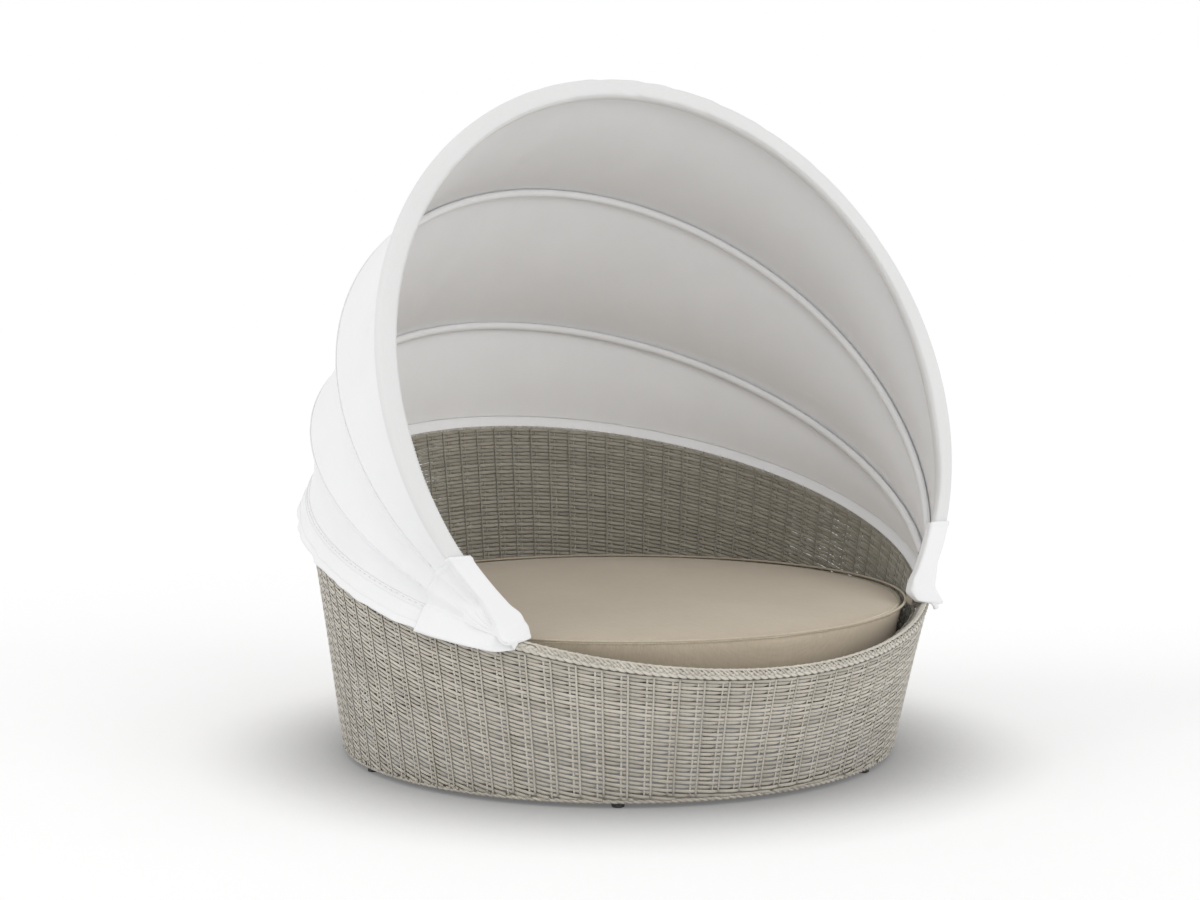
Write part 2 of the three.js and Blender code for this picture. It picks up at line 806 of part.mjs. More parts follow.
// The cushion fills the basket from the back wall to the border at the front.
const seamHalfWidth = pipingRadius + (pipingRadius + fitGap) / 2;
const skinDepth = innerFace + weaveThickness;
const backRoom = wallRadius(Math.PI, cushionSeamHeight) - skinDepth;
const frontRoom = rimRadius - borderWidth;
const cushionRadius = (backRoom + frontRoom) / 2 - cushionSideGap - seamHalfWidth;
const cushionForward = (frontRoom - backRoom) / 2;
const footRoom = Math.min(
  wallRadius(Math.PI, cushionBottom) + cushionForward,
  wallRadius(Math.PI / 2, cushionBottom),
);
const cushionFootRadius = footRoom - skinDepth - cushionFootGap;
const cushionRiseShares = [0, 0.3, 0.6, 0.85, 1];
const crownShares = [1, 0.93, 0.8, 0.6, 0.35, 0];

// Outline of the cushion at a depth under its surface, from the foot up and in to the axis.
function cushionOutline(depth, low) {
  const high = cushionSeamHeight - pipingRadius;
  const side = cushionRiseShares.map((share) => {
    const drawn = cushionDrawIn * archShare(share);
    return [mix(cushionFootRadius, cushionRadius, share) - drawn - depth, mix(low, high, share)];
  });
  const edge = cushionRadius - depth;
  const crown = crownShares.slice(1).map((share) => (
    [edge * share, high - depth + cushionCrown * (1 - share ** 3) + pipingRadius]
  ));
  return [...side, ...crown];
}

function roundPiping(radius, height) {
  const sectionSides = 6;
  const section = countTo(sectionSides + 1, (index) => {
    const angle = (index % sectionSides) * fullTurn / sectionSides;
    return [radius + pipingRadius * Math.cos(angle), height + pipingRadius * Math.sin(angle)];
  });
  return turned(section, cushionSegments);
}

function buildCushion() {
  const forward = new THREE.Vector3(0, -cushionForward, 0);
  const settle = (geometry) => placed(geometry, forward);
  const baseTop = cushionBottom + coverThickness;
  const foamLow = baseTop + fitGap;
  const foamOutline = cushionOutline(coverThickness + skinGap * 2, foamLow);
  const foam = turned([[0, foamLow], ...foamOutline], cushionSegments);
  addPiece('cushion_foam', settle(foam), foamBlock);

  const outer = cushionOutline(0, baseTop + fitGap);
  const inner = cushionOutline(coverThickness, baseTop + fitGap);
  const cover = turned([...outer.toReversed(), ...inner], cushionSegments);
  addPiece('cushion_cover', settle(cover), taupeCloth);

  const base = turned([
    [0, cushionBottom], [cushionFootRadius, cushionBottom],
    [cushionFootRadius, baseTop], [0, baseTop],
  ], cushionSegments);
  addPiece('cushion_base_cloth', settle(base), taupeCloth);

  const seat = pipingRadius + fitGap;
  const lean = pipingLeanDegrees * radiansPerDegree;
  const [seamRadius, seamTop] = outer[cushionRiseShares.length - 1];
  const piping = roundPiping(seamRadius + seat * Math.sin(lean), seamTop + seat * Math.cos(lean));
  addPiece('cushion_piping', settle(piping), taupeCloth);

  const [below, above] = outer.slice(1, 3);
  const zipMiddle = mix(outer[0][1], cushionSeamHeight - pipingRadius, zipRiseShare);
  const faceAt = (height) => {
    const share = (height - below[1]) / (above[1] - below[1]);
    return mix(below[0], above[0], share) + fitGap;
  };
  const segment = fullTurn / cushionSegments;
  const steps = Math.round(zipHalfAngle * 2 / segment);
  const start = Math.PI - steps * segment / 2;
  const zipCorners = [
    [0, -zipWidth / 2], [zipThickness, -zipWidth / 2],
    [zipThickness, zipWidth / 2], [0, zipWidth / 2],
  ];
  const rings = countTo(steps + 1, (index) => zipCorners.map(([out, rise]) => {
    const height = zipMiddle + rise;
    return around(start + index * segment, faceAt(height) + out, height);
  }));
  addPiece('cushion_zip', settle(loft(rings, false)), taupeCloth);
}

// Bows: each is part of an ellipse in a plane through the hinge line.

function bowShape(bow) {
  const pinX = hingePinX + bow.eyePitchShare * eyePitch;
  const halfWidth = rimRadius - bow.rimInset;
  const pinShare = Math.sqrt(1 - (pinX / halfWidth) ** 2);
  const centre = bow.reach * pinShare / (1 + pinShare);
  const angle = bow.leanDegrees * radiansPerDegree;
  return {
    ...bow,
    pinX,
    halfWidth,
    centre,
    rise: bow.reach - centre,
    along: new THREE.Vector3(0, Math.cos(angle), Math.sin(angle)),
    across: new THREE.Vector3(0, -Math.sin(angle), Math.cos(angle)),
  };
}

const clothStepCount = 20;
const bows = { front: bowShape(frontBow), mid: bowShape(midBow), rear: bowShape(rearBow) };
const hingePoint = new THREE.Vector3(0, hingeY, hingeZ);

function inBowPlane(bow, x, reach, lift) {
  return hingePoint.clone()
    .add(new THREE.Vector3(x, 0, 0))
    .addScaledVector(bow.along, reach)
    .addScaledVector(bow.across, lift);
}

function bowHalfWidthAt(bow, reach) {
  const share = (Math.max(reach, 0) - bow.centre) / bow.rise;
  return bow.halfWidth * Math.sqrt(Math.max(1 - share ** 2, 0));
}

// The flattened ends leave the pin square to it and then swing out to the ellipse.
function bowXAt(bow, reach) {
  const swing = easeShare((reach - eyeTail) / (swingEnd - eyeTail));
  return mix(bow.pinX, bowHalfWidthAt(bow, reach), swing);
}

function turnAtReach(bow, reach) {
  return Math.asin((reach - bow.centre) / bow.rise);
}

// A point beside the bow: out is away from its middle, lift is square to its plane.
function besideBow(bow, turn, out, lift) {
  const normal = new THREE.Vector2(Math.cos(turn) / bow.halfWidth, Math.sin(turn) / bow.rise);
  normal.normalize();
  const x = bow.halfWidth * Math.cos(turn) + normal.x * out;
  const reach = bow.centre + bow.rise * Math.sin(turn) + normal.y * out;
  return inBowPlane(bow, x, reach, lift);
}

// Places along the arc that a bow, its sleeve and the cloth on it share.
function clothTurns(bow) {
  const start = turnAtReach(bow, bow.clothStart);
  return stepsBetween(start, Math.PI - start, clothStepCount);
}

function bowTurns(bow) {
  const start = turnAtReach(bow, roundStart);
  return [start, ...clothTurns(bow), Math.PI - start];
}

const roundCornerShare = Math.SQRT2 - 1;
const flatCornerShares = [0.5, 0.8];

// Eight corners of a section that is round or pressed flat.
function bowSection(thick, tall, flatShare) {
  const thickCorner = thick * mix(roundCornerShare, flatCornerShares[0], flatShare);
  const tallCorner = tall * mix(roundCornerShare, flatCornerShares[1], flatShare);
  return [
    [thick, -tallCorner], [thick, tallCorner], [thickCorner, tall], [-thickCorner, tall],
    [-thick, tallCorner], [-thick, -tallCorner], [-thickCorner, -tall], [thickCorner, -tall],
  ];
}

const endReachShares = [0.1, 0.2, 0.3, 0.4, 0.7, 1];
const eyeRoundShare = 0.56;

// A section seen in the mirror keeps its corners in order from this corner back.
const mirrorShiftCount = 5;

function bowBody(bow) {
  const flat = { thick: eyeThickness / 2, tall: eyeHalfHeight, flatShare: 1 };
  const tipTall = eyeHalfHeight / 2;
  const endStations = [
    { reach: -eyeTail, ...flat, tall: tipTall },
    { reach: -eyeTail * eyeRoundShare, ...flat },
    { reach: eyeTail, ...flat },
    ...endReachShares.map((share) => ({
      reach: mix(eyeTail, flatEnd, share),
      ...flat,
      tall: mix(eyeHalfHeight, flatHalfHeight, share),
    })),
  ];
  const endRings = endStations.map((station) => {
    const { reach } = station;
    const step = eyeTail / 4;
    const ahead = bowXAt(bow, reach + step) - bowXAt(bow, reach - step);
    const heading = new THREE.Vector2(ahead, 2 * step).normalize();
    return bowSection(station.thick, station.tall, station.flatShare).map(([out, lift]) => (
      inBowPlane(bow, bowXAt(bow, reach) + heading.y * out, reach - heading.x * out, lift)
    ));
  });
  const roundRings = bowTurns(bow).map((turn) => (
    bowSection(bow.tube, bow.tube, 0).map(([out, lift]) => besideBow(bow, turn, out, lift))
  ));
  const mirrored = endRings.toReversed().map((ring) => ring.map((point, index) => {
    const twin = ring[(ring.length + mirrorShiftCount - index) % ring.length];
    return new THREE.Vector3(-twin.x, twin.y, twin.z);
  }));
  const body = loft([...endRings, ...roundRings, ...mirrored], false);
  const drill = alongX(new THREE.CylinderGeometry(boreRadius, boreRadius, cutOver, roundSides));
  return cutFrom(body, Object.values(sides).map((side) => (
    placed(drill, new THREE.Vector3(side * bow.pinX, hingeY, hingeZ))
  )));
}

function ovalSection(halfWide, halfDeep, corners, boxShare) {
  return countTo(corners, (index) => {
    const angle = (index + 1 / 2) * fullTurn / corners;
    const bend = (value) => Math.sign(value) * Math.abs(value) ** boxShare;
    return [halfWide * bend(Math.cos(angle)), halfDeep * bend(Math.sin(angle))];
  });
}

const sleeveBoxShare = 0.75;

function clothTube(bow, halfWide, halfDeep, boxShare) {
  const corners = coarseSides;
  const hollow = (bow.tube + clothGap) / Math.cos(Math.PI / corners);
  const ringsOf = (section) => clothTurns(bow).map((turn) => (
    section.map(([out, lift]) => besideBow(bow, turn, out, lift))
  ));
  return hollowLoft(
    ringsOf(ovalSection(halfWide, halfDeep, corners, boxShare)),
    ringsOf(ovalSection(hollow, hollow, corners, 1)),
  );
}

const pocketRadius = midBow.tube + clothGap + pocketWall;
const pocketOuter = pocketRadius / Math.cos(Math.PI / coarseSides);

function buildBows() {
  addPiece('front_bow', bowBody(bows.front), beigeFrame);
  addPiece('mid_bow', bowBody(bows.mid), beigeFrame);
  addPiece('rear_bow', bowBody(bows.rear), beigeFrame);
  const sleeve = clothTube(bows.front, sleeveHalfWidth, sleeveHalfDepth, sleeveBoxShare);
  addPiece('front_bow_sleeve', sleeve, whiteCloth);
  for (const name of ['mid', 'rear']) {
    const pocket = clothTube(bows[name], pocketOuter, pocketOuter, 1);
    addPiece(`${name}_bow_pocket`, pocket, whiteCloth);
  }
}

// Canopy cloth: each panel hangs between two edges and is drawn in between them.

const panelRowCount = 4;
const panelFoldCount = 5;

function bowEdge(bow, out, lift) {
  return clothTurns(bow).map((turn) => besideBow(bow, turn, out, lift));
}

// The lower edge of the cloth lies on the border, from one hinge round the back to the other.
function rimEdge(radius, rise) {
  const first = Math.acos((hingeForward - rearBow.clothStart) / rimRadius);
  return stepsBetween(first, fullTurn - first, clothStepCount).map((angle) => (
    rimPoint(angle, radius, rise)
  ));
}

function panel(lowEdge, highEdge, sag) {
  const columns = lowEdge.length - 1;
  const grid = lowEdge.map((low, column) => {
    const high = highEdge[column];
    const share = column / columns;
    const spread = Math.sqrt(Math.sin(Math.PI * share));
    const inward = new THREE.Vector3(0, hingeY + midBow.reach / 4, hingeZ + midBow.reach / 4)
      .sub(low.clone().add(high).divideScalar(2))
      .normalize();
    return stepsBetween(0, 1, panelRowCount).map((rowShare) => {
      const fold = foldDepth * Math.sin(share * panelFoldCount * fullTurn);
      const drape = archShare(rowShare) * (sag * spread + fold);
      return low.clone().lerp(high, rowShare).addScaledVector(inward, drape);
    });
  });
  return sheet(grid, clothThickness);
}

function buildPanels() {
  const clear = (pocketOuter + clothGap + clothThickness / 2) / ridgeSlopeShare;
  const frontEdge = bowEdge(
    bows.front, sleeveHalfWidth / 2, -(sleeveHalfDepth + clothThickness),
  );
  const seamHalf = clothGap;
  const panels = {
    canopy_front_panel: [bowEdge(bows.mid, clear, seamHalf), frontEdge, frontSag],
    canopy_mid_panel: [
      bowEdge(bows.rear, clear, seamHalf), bowEdge(bows.mid, clear, -seamHalf), midSag,
    ],
    canopy_rear_panel: [
      rimEdge(borderCentre, borderCrown + 2 * clothThickness),
      bowEdge(bows.rear, clear, -seamHalf),
      rearSag,
    ],
  };
  for (const [name, [low, high, sag]] of Object.entries(panels)) {
    addPiece(name, panel(low, high, sag), whiteCloth);
  }
}

// Skirt: starts on top of the border, turns over its outer edge and hangs down flared.

const skirtAngles = stepsBetween(
  skirtStartSegments, ringSegments - skirtStartSegments, ringSegments - 2 * skirtStartSegments,
).map((segment) => segment * segmentAngle);

// Rows across the skirt: where it lies on the border, as shares of the half width and of the
// height below the crown, and then where it hangs, as shares of the flare and of the drop.
const skirtSeatShares = [[0.19, 0], [0.62, 0.07]];
const skirtHangShares = [[0, 0.12], [0.3, 0.42], [0.68, 0.7], [1, 1]];
const rippleShares = [0, 0, 0, 0, 0.5, 1];
const bindingSeatShares = [[-0.52, 0.05], [-0.87, 0.29], [-1, 0.62]];
const bindingLeanShares = [0.25, 0.6, 1];

function strip(path, thickness) {
  return sheet(skirtAngles.map((angle) => path.map(([radius, rise], row) => {
    const ripple = skirtRipple * Math.sin(angle * skirtRippleCount) * (rippleShares[row] ?? 0);
    return rimPoint(angle, radius + ripple, rise);
  })), thickness);
}

function buildSkirt() {
  const half = borderWidth / 2;
  const stand = clothThickness / 2 + clothGap;
  const edge = rimRadius + stand;
  const path = [
    ...skirtSeatShares.map(([outShare, dropShare]) => (
      [borderCentre + half * outShare, borderCrown + stand - borderHeight * dropShare]
    )),
    ...skirtHangShares.map(([flareShare, dropShare]) => (
      [edge + skirtFlare * flareShare, -skirtDrop * dropShare]
    )),
  ];
  addPiece('canopy_skirt', strip(path, clothThickness), whiteCloth);

  const bindingThickness = clothThickness / 2;
  const bindingStand = bindingThickness / 2 + skinGap;
  const bindingPath = bindingSeatShares.map(([outShare, dropShare], row) => [
    borderCentre + half * outShare - bindingStand * bindingLeanShares[row],
    borderCrown + bindingStand * (1 - bindingLeanShares[row]) - borderHeight * dropShare,
  ]);
  addPiece('rim_binding', strip(bindingPath, bindingThickness), whiteCloth);
}

// Pouch: cloth folded over the front bow end, with a long outer flap and a short inner one.

const pouchReachShares = [-1, 0.1, 0.3, 0.55, 0.78, 1];
const tipDropShare = 0.6;
const tipLiftShare = 0.8;
const flapLiftShare = 0.6;
const ridgeLiftShare = 1.25;
const insideLiftShare = -0.4;
const insideTipShare = 0.2;
const flapRowShares = [0, 0.33, 0.67];

const hingeHalf = stackHalf + lugBoss + lugThickness;
const outerTipStand = eyePitch + hingeHalf + nutHeight + pouchStand;
const innerTipStand = hingeHalf - eyePitch + pinHeadHeight + clothThickness + clothGap;
const rimAlong = new THREE.Vector3(0, Math.cos(rimTilt), Math.sin(rimTilt));
const rimAcross = new THREE.Vector3(0, -Math.sin(rimTilt), Math.cos(rimTilt));

function pouchRow(share) {
  const bow = bows.front;
  const reach = share * (share < 0 ? pouchTip : pouchReach);
  const grown = easeShare(reach / flatEnd);
  const sleeveStand = sleeveHalfWidth + pouchStand;
  const outerX = bowXAt(bow, reach) + mix(outerTipStand, sleeveStand, grown);
  const innerX = bowXAt(bow, reach) - mix(innerTipStand, sleeveStand, grown);
  const onTip = (x, lift) => hingePoint.clone()
    .add(new THREE.Vector3(x, 0, 0))
    .addScaledVector(rimAlong, reach)
    .addScaledVector(rimAcross, lift);
  const beside = (x, liftShare) => {
    const lift = (sleeveHalfDepth + pouchStand) * liftShare;
    return reach > 0 ? inBowPlane(bow, x, reach, lift) : onTip(x, lift * tipLiftShare);
  };
  const tipShare = easeShare((reach + pouchTip) / pouchTip);
  const low = onTip(0, -(hingeLift + pouchDrop) * mix(tipDropShare, 1, tipShare));
  const wallX = Math.sqrt(rimRadius ** 2 - low.y ** 2);
  low.x = Math.max(wallX + skirtFlare + pouchStand, outerX);
  const high = beside(outerX, flapLiftShare);
  return [
    ...flapRowShares.map((rowShare) => low.clone().lerp(high, rowShare)),
    high,
    beside(bowXAt(bow, reach), ridgeLiftShare),
    beside(innerX, flapLiftShare),
    beside(innerX, reach > 0 ? insideLiftShare : insideTipShare),
  ];
}

function pouchBody(side) {
  const mirrored = (point) => new THREE.Vector3(point.x * side, point.y, point.z);
  return sheet(pouchReachShares.map((share) => pouchRow(share).map(mirrored)), clothThickness);
}

function buildPouches() {
  for (const [sideName, side] of Object.entries(sides)) {
    addPiece(`pivot_pouch_${sideName}`, pouchBody(side), whiteCloth);
  }
}

buildWall();
buildFeet();
buildFrame(buildHinges());
buildDeck();
buildCushion();
buildBows();
buildPanels();
buildSkirt();
buildPouches();

export default daybed;
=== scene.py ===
"""Looks of the round outdoor daybed: woven basket, cushion, bows and canopy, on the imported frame.

Metres, +Z up, front towards -Y. Angles round the basket are zero at the front and grow towards +X.
"""

import math

import bpy
import numpy as np
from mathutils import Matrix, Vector


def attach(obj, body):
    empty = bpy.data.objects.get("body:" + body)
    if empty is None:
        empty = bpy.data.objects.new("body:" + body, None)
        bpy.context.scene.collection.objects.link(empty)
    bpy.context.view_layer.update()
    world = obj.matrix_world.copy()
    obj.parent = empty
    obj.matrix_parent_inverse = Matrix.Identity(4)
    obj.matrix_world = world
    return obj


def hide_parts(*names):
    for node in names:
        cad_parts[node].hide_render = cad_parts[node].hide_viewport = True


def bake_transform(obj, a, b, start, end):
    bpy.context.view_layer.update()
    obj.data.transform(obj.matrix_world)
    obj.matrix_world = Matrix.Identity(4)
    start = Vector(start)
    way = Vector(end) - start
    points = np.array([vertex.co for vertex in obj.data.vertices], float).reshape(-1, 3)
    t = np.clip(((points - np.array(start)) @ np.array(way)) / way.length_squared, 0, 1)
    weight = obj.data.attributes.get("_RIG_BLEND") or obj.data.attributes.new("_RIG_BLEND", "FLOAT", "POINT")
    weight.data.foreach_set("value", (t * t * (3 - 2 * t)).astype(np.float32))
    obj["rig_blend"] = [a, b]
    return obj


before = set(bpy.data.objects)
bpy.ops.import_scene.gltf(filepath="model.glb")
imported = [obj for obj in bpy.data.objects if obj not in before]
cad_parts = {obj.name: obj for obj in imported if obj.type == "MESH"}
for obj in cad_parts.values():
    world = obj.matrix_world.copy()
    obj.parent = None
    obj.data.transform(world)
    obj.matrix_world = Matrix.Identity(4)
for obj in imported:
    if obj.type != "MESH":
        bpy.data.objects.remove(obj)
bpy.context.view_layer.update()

# Basket wall
base_radius = 0.775
rim_radius = 0.872
rim_front_height = 0.353
rim_back_height = 0.871
wall_bulge_share = -0.135
weave_thickness = 0.005
skin_gap = 0.0008
stay_depth = 0.016
frame_bottom = 0.0103
deck_ring_top = 0.2757

# Half size of the opening that the rim leaves for a hinge bracket
bracket_gap_x = 0.0455
bracket_gap_y = 0.0120

# Weave
column_count = 85
outer_phase_degrees = 1.5
inner_phase_degrees = 0.4
top_row_pitch = 0.0102
low_row_pitch = 0.0121
row_pitch_depth = 0.33
outer_first_row = 0.0310
inner_first_row = 0.0255
strip_width = 0.0088
inner_width_share = 1.2
strip_thickness = 0.0019
stake_width = 0.0060
stake_thickness = 0.0018
weave_swing = 0.0015
edge_turns = 1.5  # turns of a twisted edge in each column

# Cushion
cushion_radius = 0.797
cushion_foot_radius = 0.7712
cushion_forward = 0.0151
cushion_seam_height = 0.428
cushion_crown = 0.020
cushion_draw_in = 0.007
cushion_bottom = 0.2843
cover_thickness = 0.002
piping_radius = 0.0035
piping_lean = math.radians(30)
zip_width = 0.022
zip_half_angle = 0.9
zip_middle = 0.349

# Hinge and bows
hinge_forward = 0.566754
hinge_lift = 0.018
hinge_pin_x = 0.629444
eye_pitch = 0.016
eye_tail = 0.016
swing_end = 0.070

# Canopy cloth
sleeve_half_width = 0.028
sleeve_half_depth = 0.018
cloth_thickness = 0.0024
cloth_gap = 0.0008
pocket_radius = 0.0111
welt_low_share = 0.87
tube_settle = 0.002
skirt_drop = 0.058
skirt_flare = 0.022
pouch_reach = 0.185
pouch_tip = 0.030
pouch_stand = 0.0036

full_turn = 2 * math.pi
upright = np.array([0.0, 0.0, 1.0])
random = np.random.default_rng(7)


# Numbers


def mix(low, high, share):
    return low + (high - low) * share


def ease(share):
    bounded = np.clip(share, 0, 1)
    return bounded * bounded * (3 - 2 * bounded)


def arch(share):
    return 4 * share * (1 - share)


def unit(vectors):
    return vectors / np.maximum(np.linalg.norm(vectors, axis=-1, keepdims=True), 1e-12)


def smooth_random(count, step, spread):
    """A closed run of soft random values, one control value every step entries."""
    knots = random.normal(0, spread, max(count // step, 3))
    places = np.arange(count) / count * len(knots)
    low = np.floor(places).astype(int)
    share = ease(places - low)
    return mix(knots[low % len(knots)], knots[(low + 1) % len(knots)], share)


# Meshes


def volume_of(points, quads):
    a, b, c, d = (points[quads[:, corner]] for corner in range(4))
    first = np.einsum("ij,ij->i", a, np.cross(b, c)).sum()
    second = np.einsum("ij,ij->i", a, np.cross(c, d)).sum()
    return (first + second) / 6


def link_mesh(name, points, faces, material, strand):
    """A smooth mesh object; strand holds a place along and across the cloth or fibre."""
    mesh = bpy.data.meshes.new(name)
    mesh.from_pydata(points.tolist(), [], faces)
    mesh.shade_smooth()
    if strand is not None:
        attribute = mesh.attributes.new("strand", "FLOAT_VECTOR", "POINT")
        attribute.data.foreach_set("vector", np.asarray(strand, np.float32).ravel())
    mesh.materials.append(material)
    piece = bpy.data.objects.new(name, mesh)
    bpy.context.scene.collection.objects.link(piece)
    return piece


def make_piece(name, points, quads, material, ends=(), strand=None):
    """A piece of quads turned outwards; ends are the many-sided end faces."""
    points = np.asarray(points, float)
    quads = np.asarray(quads, int)
    flipped = volume_of(points, quads) < 0
    faces = (quads[:, ::-1] if flipped else quads).tolist()
    faces += [list(end)[::-1] if flipped else list(end) for end in ends]
    return link_mesh(name, points, faces, material, strand)


def loft_quads(rings, corners, closed_path):
    ring = np.arange(rings if closed_path else rings - 1)[:, None]
    corner = np.arange(corners)[None, :]
    after = (corner + 1) % corners
    ahead = (ring + 1) % rings
    return np.stack([
        ring * corners + corner,
        ring * corners + after,
        ahead * corners + after,
        ahead * corners + corner,
    ], -1).reshape(-1, 4)


def loft_ends(rings, corners):
    last = (rings - 1) * corners
    return [list(range(corners))[::-1], list(range(last, last + corners))]


class Parts:
    """Collects lofts so that many strips become one mesh."""

    def __init__(self):
        self.points = []
        self.quads = []
        self.ends = []
        self.strand = []
        self.start = 0

    def add(self, rings, closed_path, strand=None):
        count, corners = rings.shape[:2]
        flat = rings.reshape(-1, 3)
        quads = loft_quads(count, corners, closed_path)
        flipped = volume_of(flat - flat.mean(0), quads) < 0
        if flipped:
            quads = quads[:, ::-1]
        self.points.append(flat)
        self.quads.append(quads + self.start)
        if not closed_path:
            for end in loft_ends(count, corners):
                turned = end[::-1] if flipped else end
                self.ends.append([corner + self.start for corner in turned])
        if strand is not None:
            self.strand.append(strand.reshape(-1, 3))
        self.start += len(flat)

    def piece(self, name, material, slot):
        strand = np.concatenate(self.strand) if self.strand else None
        faces = np.concatenate(self.quads).tolist() + self.ends
        return link_mesh(name, np.concatenate(self.points), faces, material, strand)


def path_frames(path, up, closed_path=False):
    """Along, across and up directions at each point of a path."""
    if closed_path:
        along = np.roll(path, -1, 0) - np.roll(path, 1, 0)
    else:
        along = np.gradient(path, axis=0)
    along = unit(along)
    across = unit(np.cross(up, along))
    return along, across, np.cross(along, across)


def round_section(corners):
    angles = (np.arange(corners) + 0.5) * full_turn / corners
    return np.stack([np.cos(angles), np.sin(angles)], -1)


def tube_rings(path, up, section, closed_path=False):
    """Rings of a section of (across, up) pairs along a path."""
    across, high = path_frames(path, up, closed_path)[1:]
    section = np.asarray(section)
    if section.ndim == 2:
        section = np.broadcast_to(section, (len(path),) + section.shape)
    return (
        path[:, None]
        + across[:, None] * section[..., :1]
        + high[:, None] * section[..., 1:]
    )


def length_along(path):
    steps = np.linalg.norm(np.diff(path, axis=0), axis=1)
    return np.concatenate([[0], np.cumsum(steps)])


def grid_normals(grid):
    rows = np.gradient(grid, axis=0)
    columns = np.gradient(grid, axis=1)
    return unit(np.cross(rows, columns))


def turned_out(normals, outward):
    """Normals turned to the side that the outward directions show."""
    return normals * np.sign((normals * outward).sum(-1))[:, None]


def sheet_rings(grid, thickness):
    """A grid of points made a closed sheet; thickness is one value or one for each point."""
    offset = grid_normals(grid) * (np.asarray(thickness)[..., None] / 2)
    return np.concatenate([grid + offset, (grid - offset)[:, ::-1]], 1)


def sheet_strand(grid):
    """Lengths across and along the cloth in metres at each point of both faces."""
    along = np.concatenate([[0], np.cumsum(
        np.linalg.norm(np.diff(grid, axis=0), axis=2).mean(1))])
    across = np.concatenate([[0], np.cumsum(
        np.linalg.norm(np.diff(grid, axis=1), axis=2).mean(0))])
    v, u = np.meshgrid(along, across, indexing="ij")
    face = np.stack([u, v, np.zeros_like(u)], -1)
    back = np.stack([u, v, np.full_like(u, 0.5)], -1)[:, ::-1]
    return np.concatenate([face, back], 1)


def sheet_ends(rows, columns):
    ends = []
    count = columns * 2
    for start, flips in ((0, False), ((rows - 1) * count, True)):
        for column in range(columns - 1):
            near = start + column
            far = start + count - 1 - column
            face = [near, far, far - 1, near + 1]
            ends.append(face[::-1] if flips else face)
    return ends


def sheet_piece(name, grid, thickness, material):
    rows, columns = grid.shape[:2]
    thick = np.broadcast_to(np.asarray(thickness, float), (rows, columns))
    rings = sheet_rings(grid, thick)
    return make_piece(
        name, rings.reshape(-1, 3), loft_quads(rows, columns * 2, False), material,
        ends=sheet_ends(rows, columns), strand=sheet_strand(grid).reshape(-1, 3),
    )


# Basket surface

rim_mid_height = (rim_front_height + rim_back_height) / 2
rim_slope = (rim_back_height - rim_front_height) / (2 * rim_radius)
rim_tilt = math.atan(rim_slope)
inner_face = weave_thickness + skin_gap + stay_depth + skin_gap
column_angle = full_turn / column_count


def around(angle, radius, height):
    angle, radius, height = np.broadcast_arrays(angle, radius, height)
    return np.stack([radius * np.sin(angle), -radius * np.cos(angle), height], -1)


def rim_plane_at(y):
    return rim_mid_height + rim_slope * y


def rim_point(angle, radius, rise):
    return around(angle, radius, rim_plane_at(-radius * np.cos(angle)) + rise)


def wall_radius(angle, height):
    share = height / rim_plane_at(-rim_radius * np.cos(angle))
    bulge = wall_bulge_share * share * (1 - share)
    return mix(base_radius, rim_radius, share + bulge)


def wall_top(angle, depth, drop):
    """Height where a layer of the wall meets the plane that lies drop under the rim."""
    height = rim_plane_at(-rim_radius * np.cos(angle)) - drop
    for _ in range(9):
        height = rim_plane_at(-(wall_radius(angle, height) - depth) * np.cos(angle)) - drop
    return height


# Materials


def fresh_material(name):
    material = bpy.data.materials.new(name)
    material.use_nodes = True
    tree = material.node_tree
    return material, tree, tree.nodes["Principled BSDF"]


def add_node(tree, kind, **settings):
    node = tree.nodes.new(kind)
    for key, value in settings.items():
        setattr(node, key, value)
    return node


def math_node(tree, operation, first, second=None):
    node = add_node(tree, "ShaderNodeMath", operation=operation)
    for socket, value in zip(node.inputs, (first, second)):
        if value is None:
            continue
        if isinstance(value, (int, float)):
            socket.default_value = value
        else:
            tree.links.new(value, socket)
    return node.outputs[0]


def noise_node(tree, vector, scale, detail=3.0, roughness=0.55):
    node = add_node(tree, "ShaderNodeTexNoise")
    node.inputs["Scale"].default_value = scale
    node.inputs["Detail"].default_value = detail
    node.inputs["Roughness"].default_value = roughness
    tree.links.new(vector, node.inputs["Vector"])
    return node.outputs["Fac"]


def scaled_vector(tree, vector, scales):
    node = add_node(tree, "ShaderNodeVectorMath", operation="MULTIPLY")
    tree.links.new(vector, node.inputs[0])
    node.inputs[1].default_value = scales
    return node.outputs[0]


def remap(tree, value, low, high, new_low, new_high):
    node = add_node(tree, "ShaderNodeMapRange")
    tree.links.new(value, node.inputs["Value"])
    for name, number in (
        ("From Min", low), ("From Max", high), ("To Min", new_low), ("To Max", new_high),
    ):
        node.inputs[name].default_value = number
    return node.outputs[0]


def color_mix(tree, factor, first, second, blend="MIX"):
    node = add_node(tree, "ShaderNodeMix", data_type="RGBA", blend_type=blend)
    sockets = (node.inputs[0], node.inputs[6], node.inputs[7])
    for socket, value in zip(sockets, (factor, first, second)):
        if isinstance(value, tuple):
            socket.default_value = value + (1.0,)
        elif isinstance(value, (int, float)):
            socket.default_value = value
        else:
            tree.links.new(value, socket)
    return node.outputs[2]


def grey_color(tree, value):
    node = add_node(tree, "ShaderNodeCombineColor")
    for socket in node.inputs:
        tree.links.new(value, socket)
    return node.outputs[0]


def tint(tree, shader, color, value):
    """Base colour times a grey value."""
    tinted = color_mix(tree, 1.0, color, grey_color(tree, value), "MULTIPLY")
    tree.links.new(tinted, shader.inputs["Base Color"])


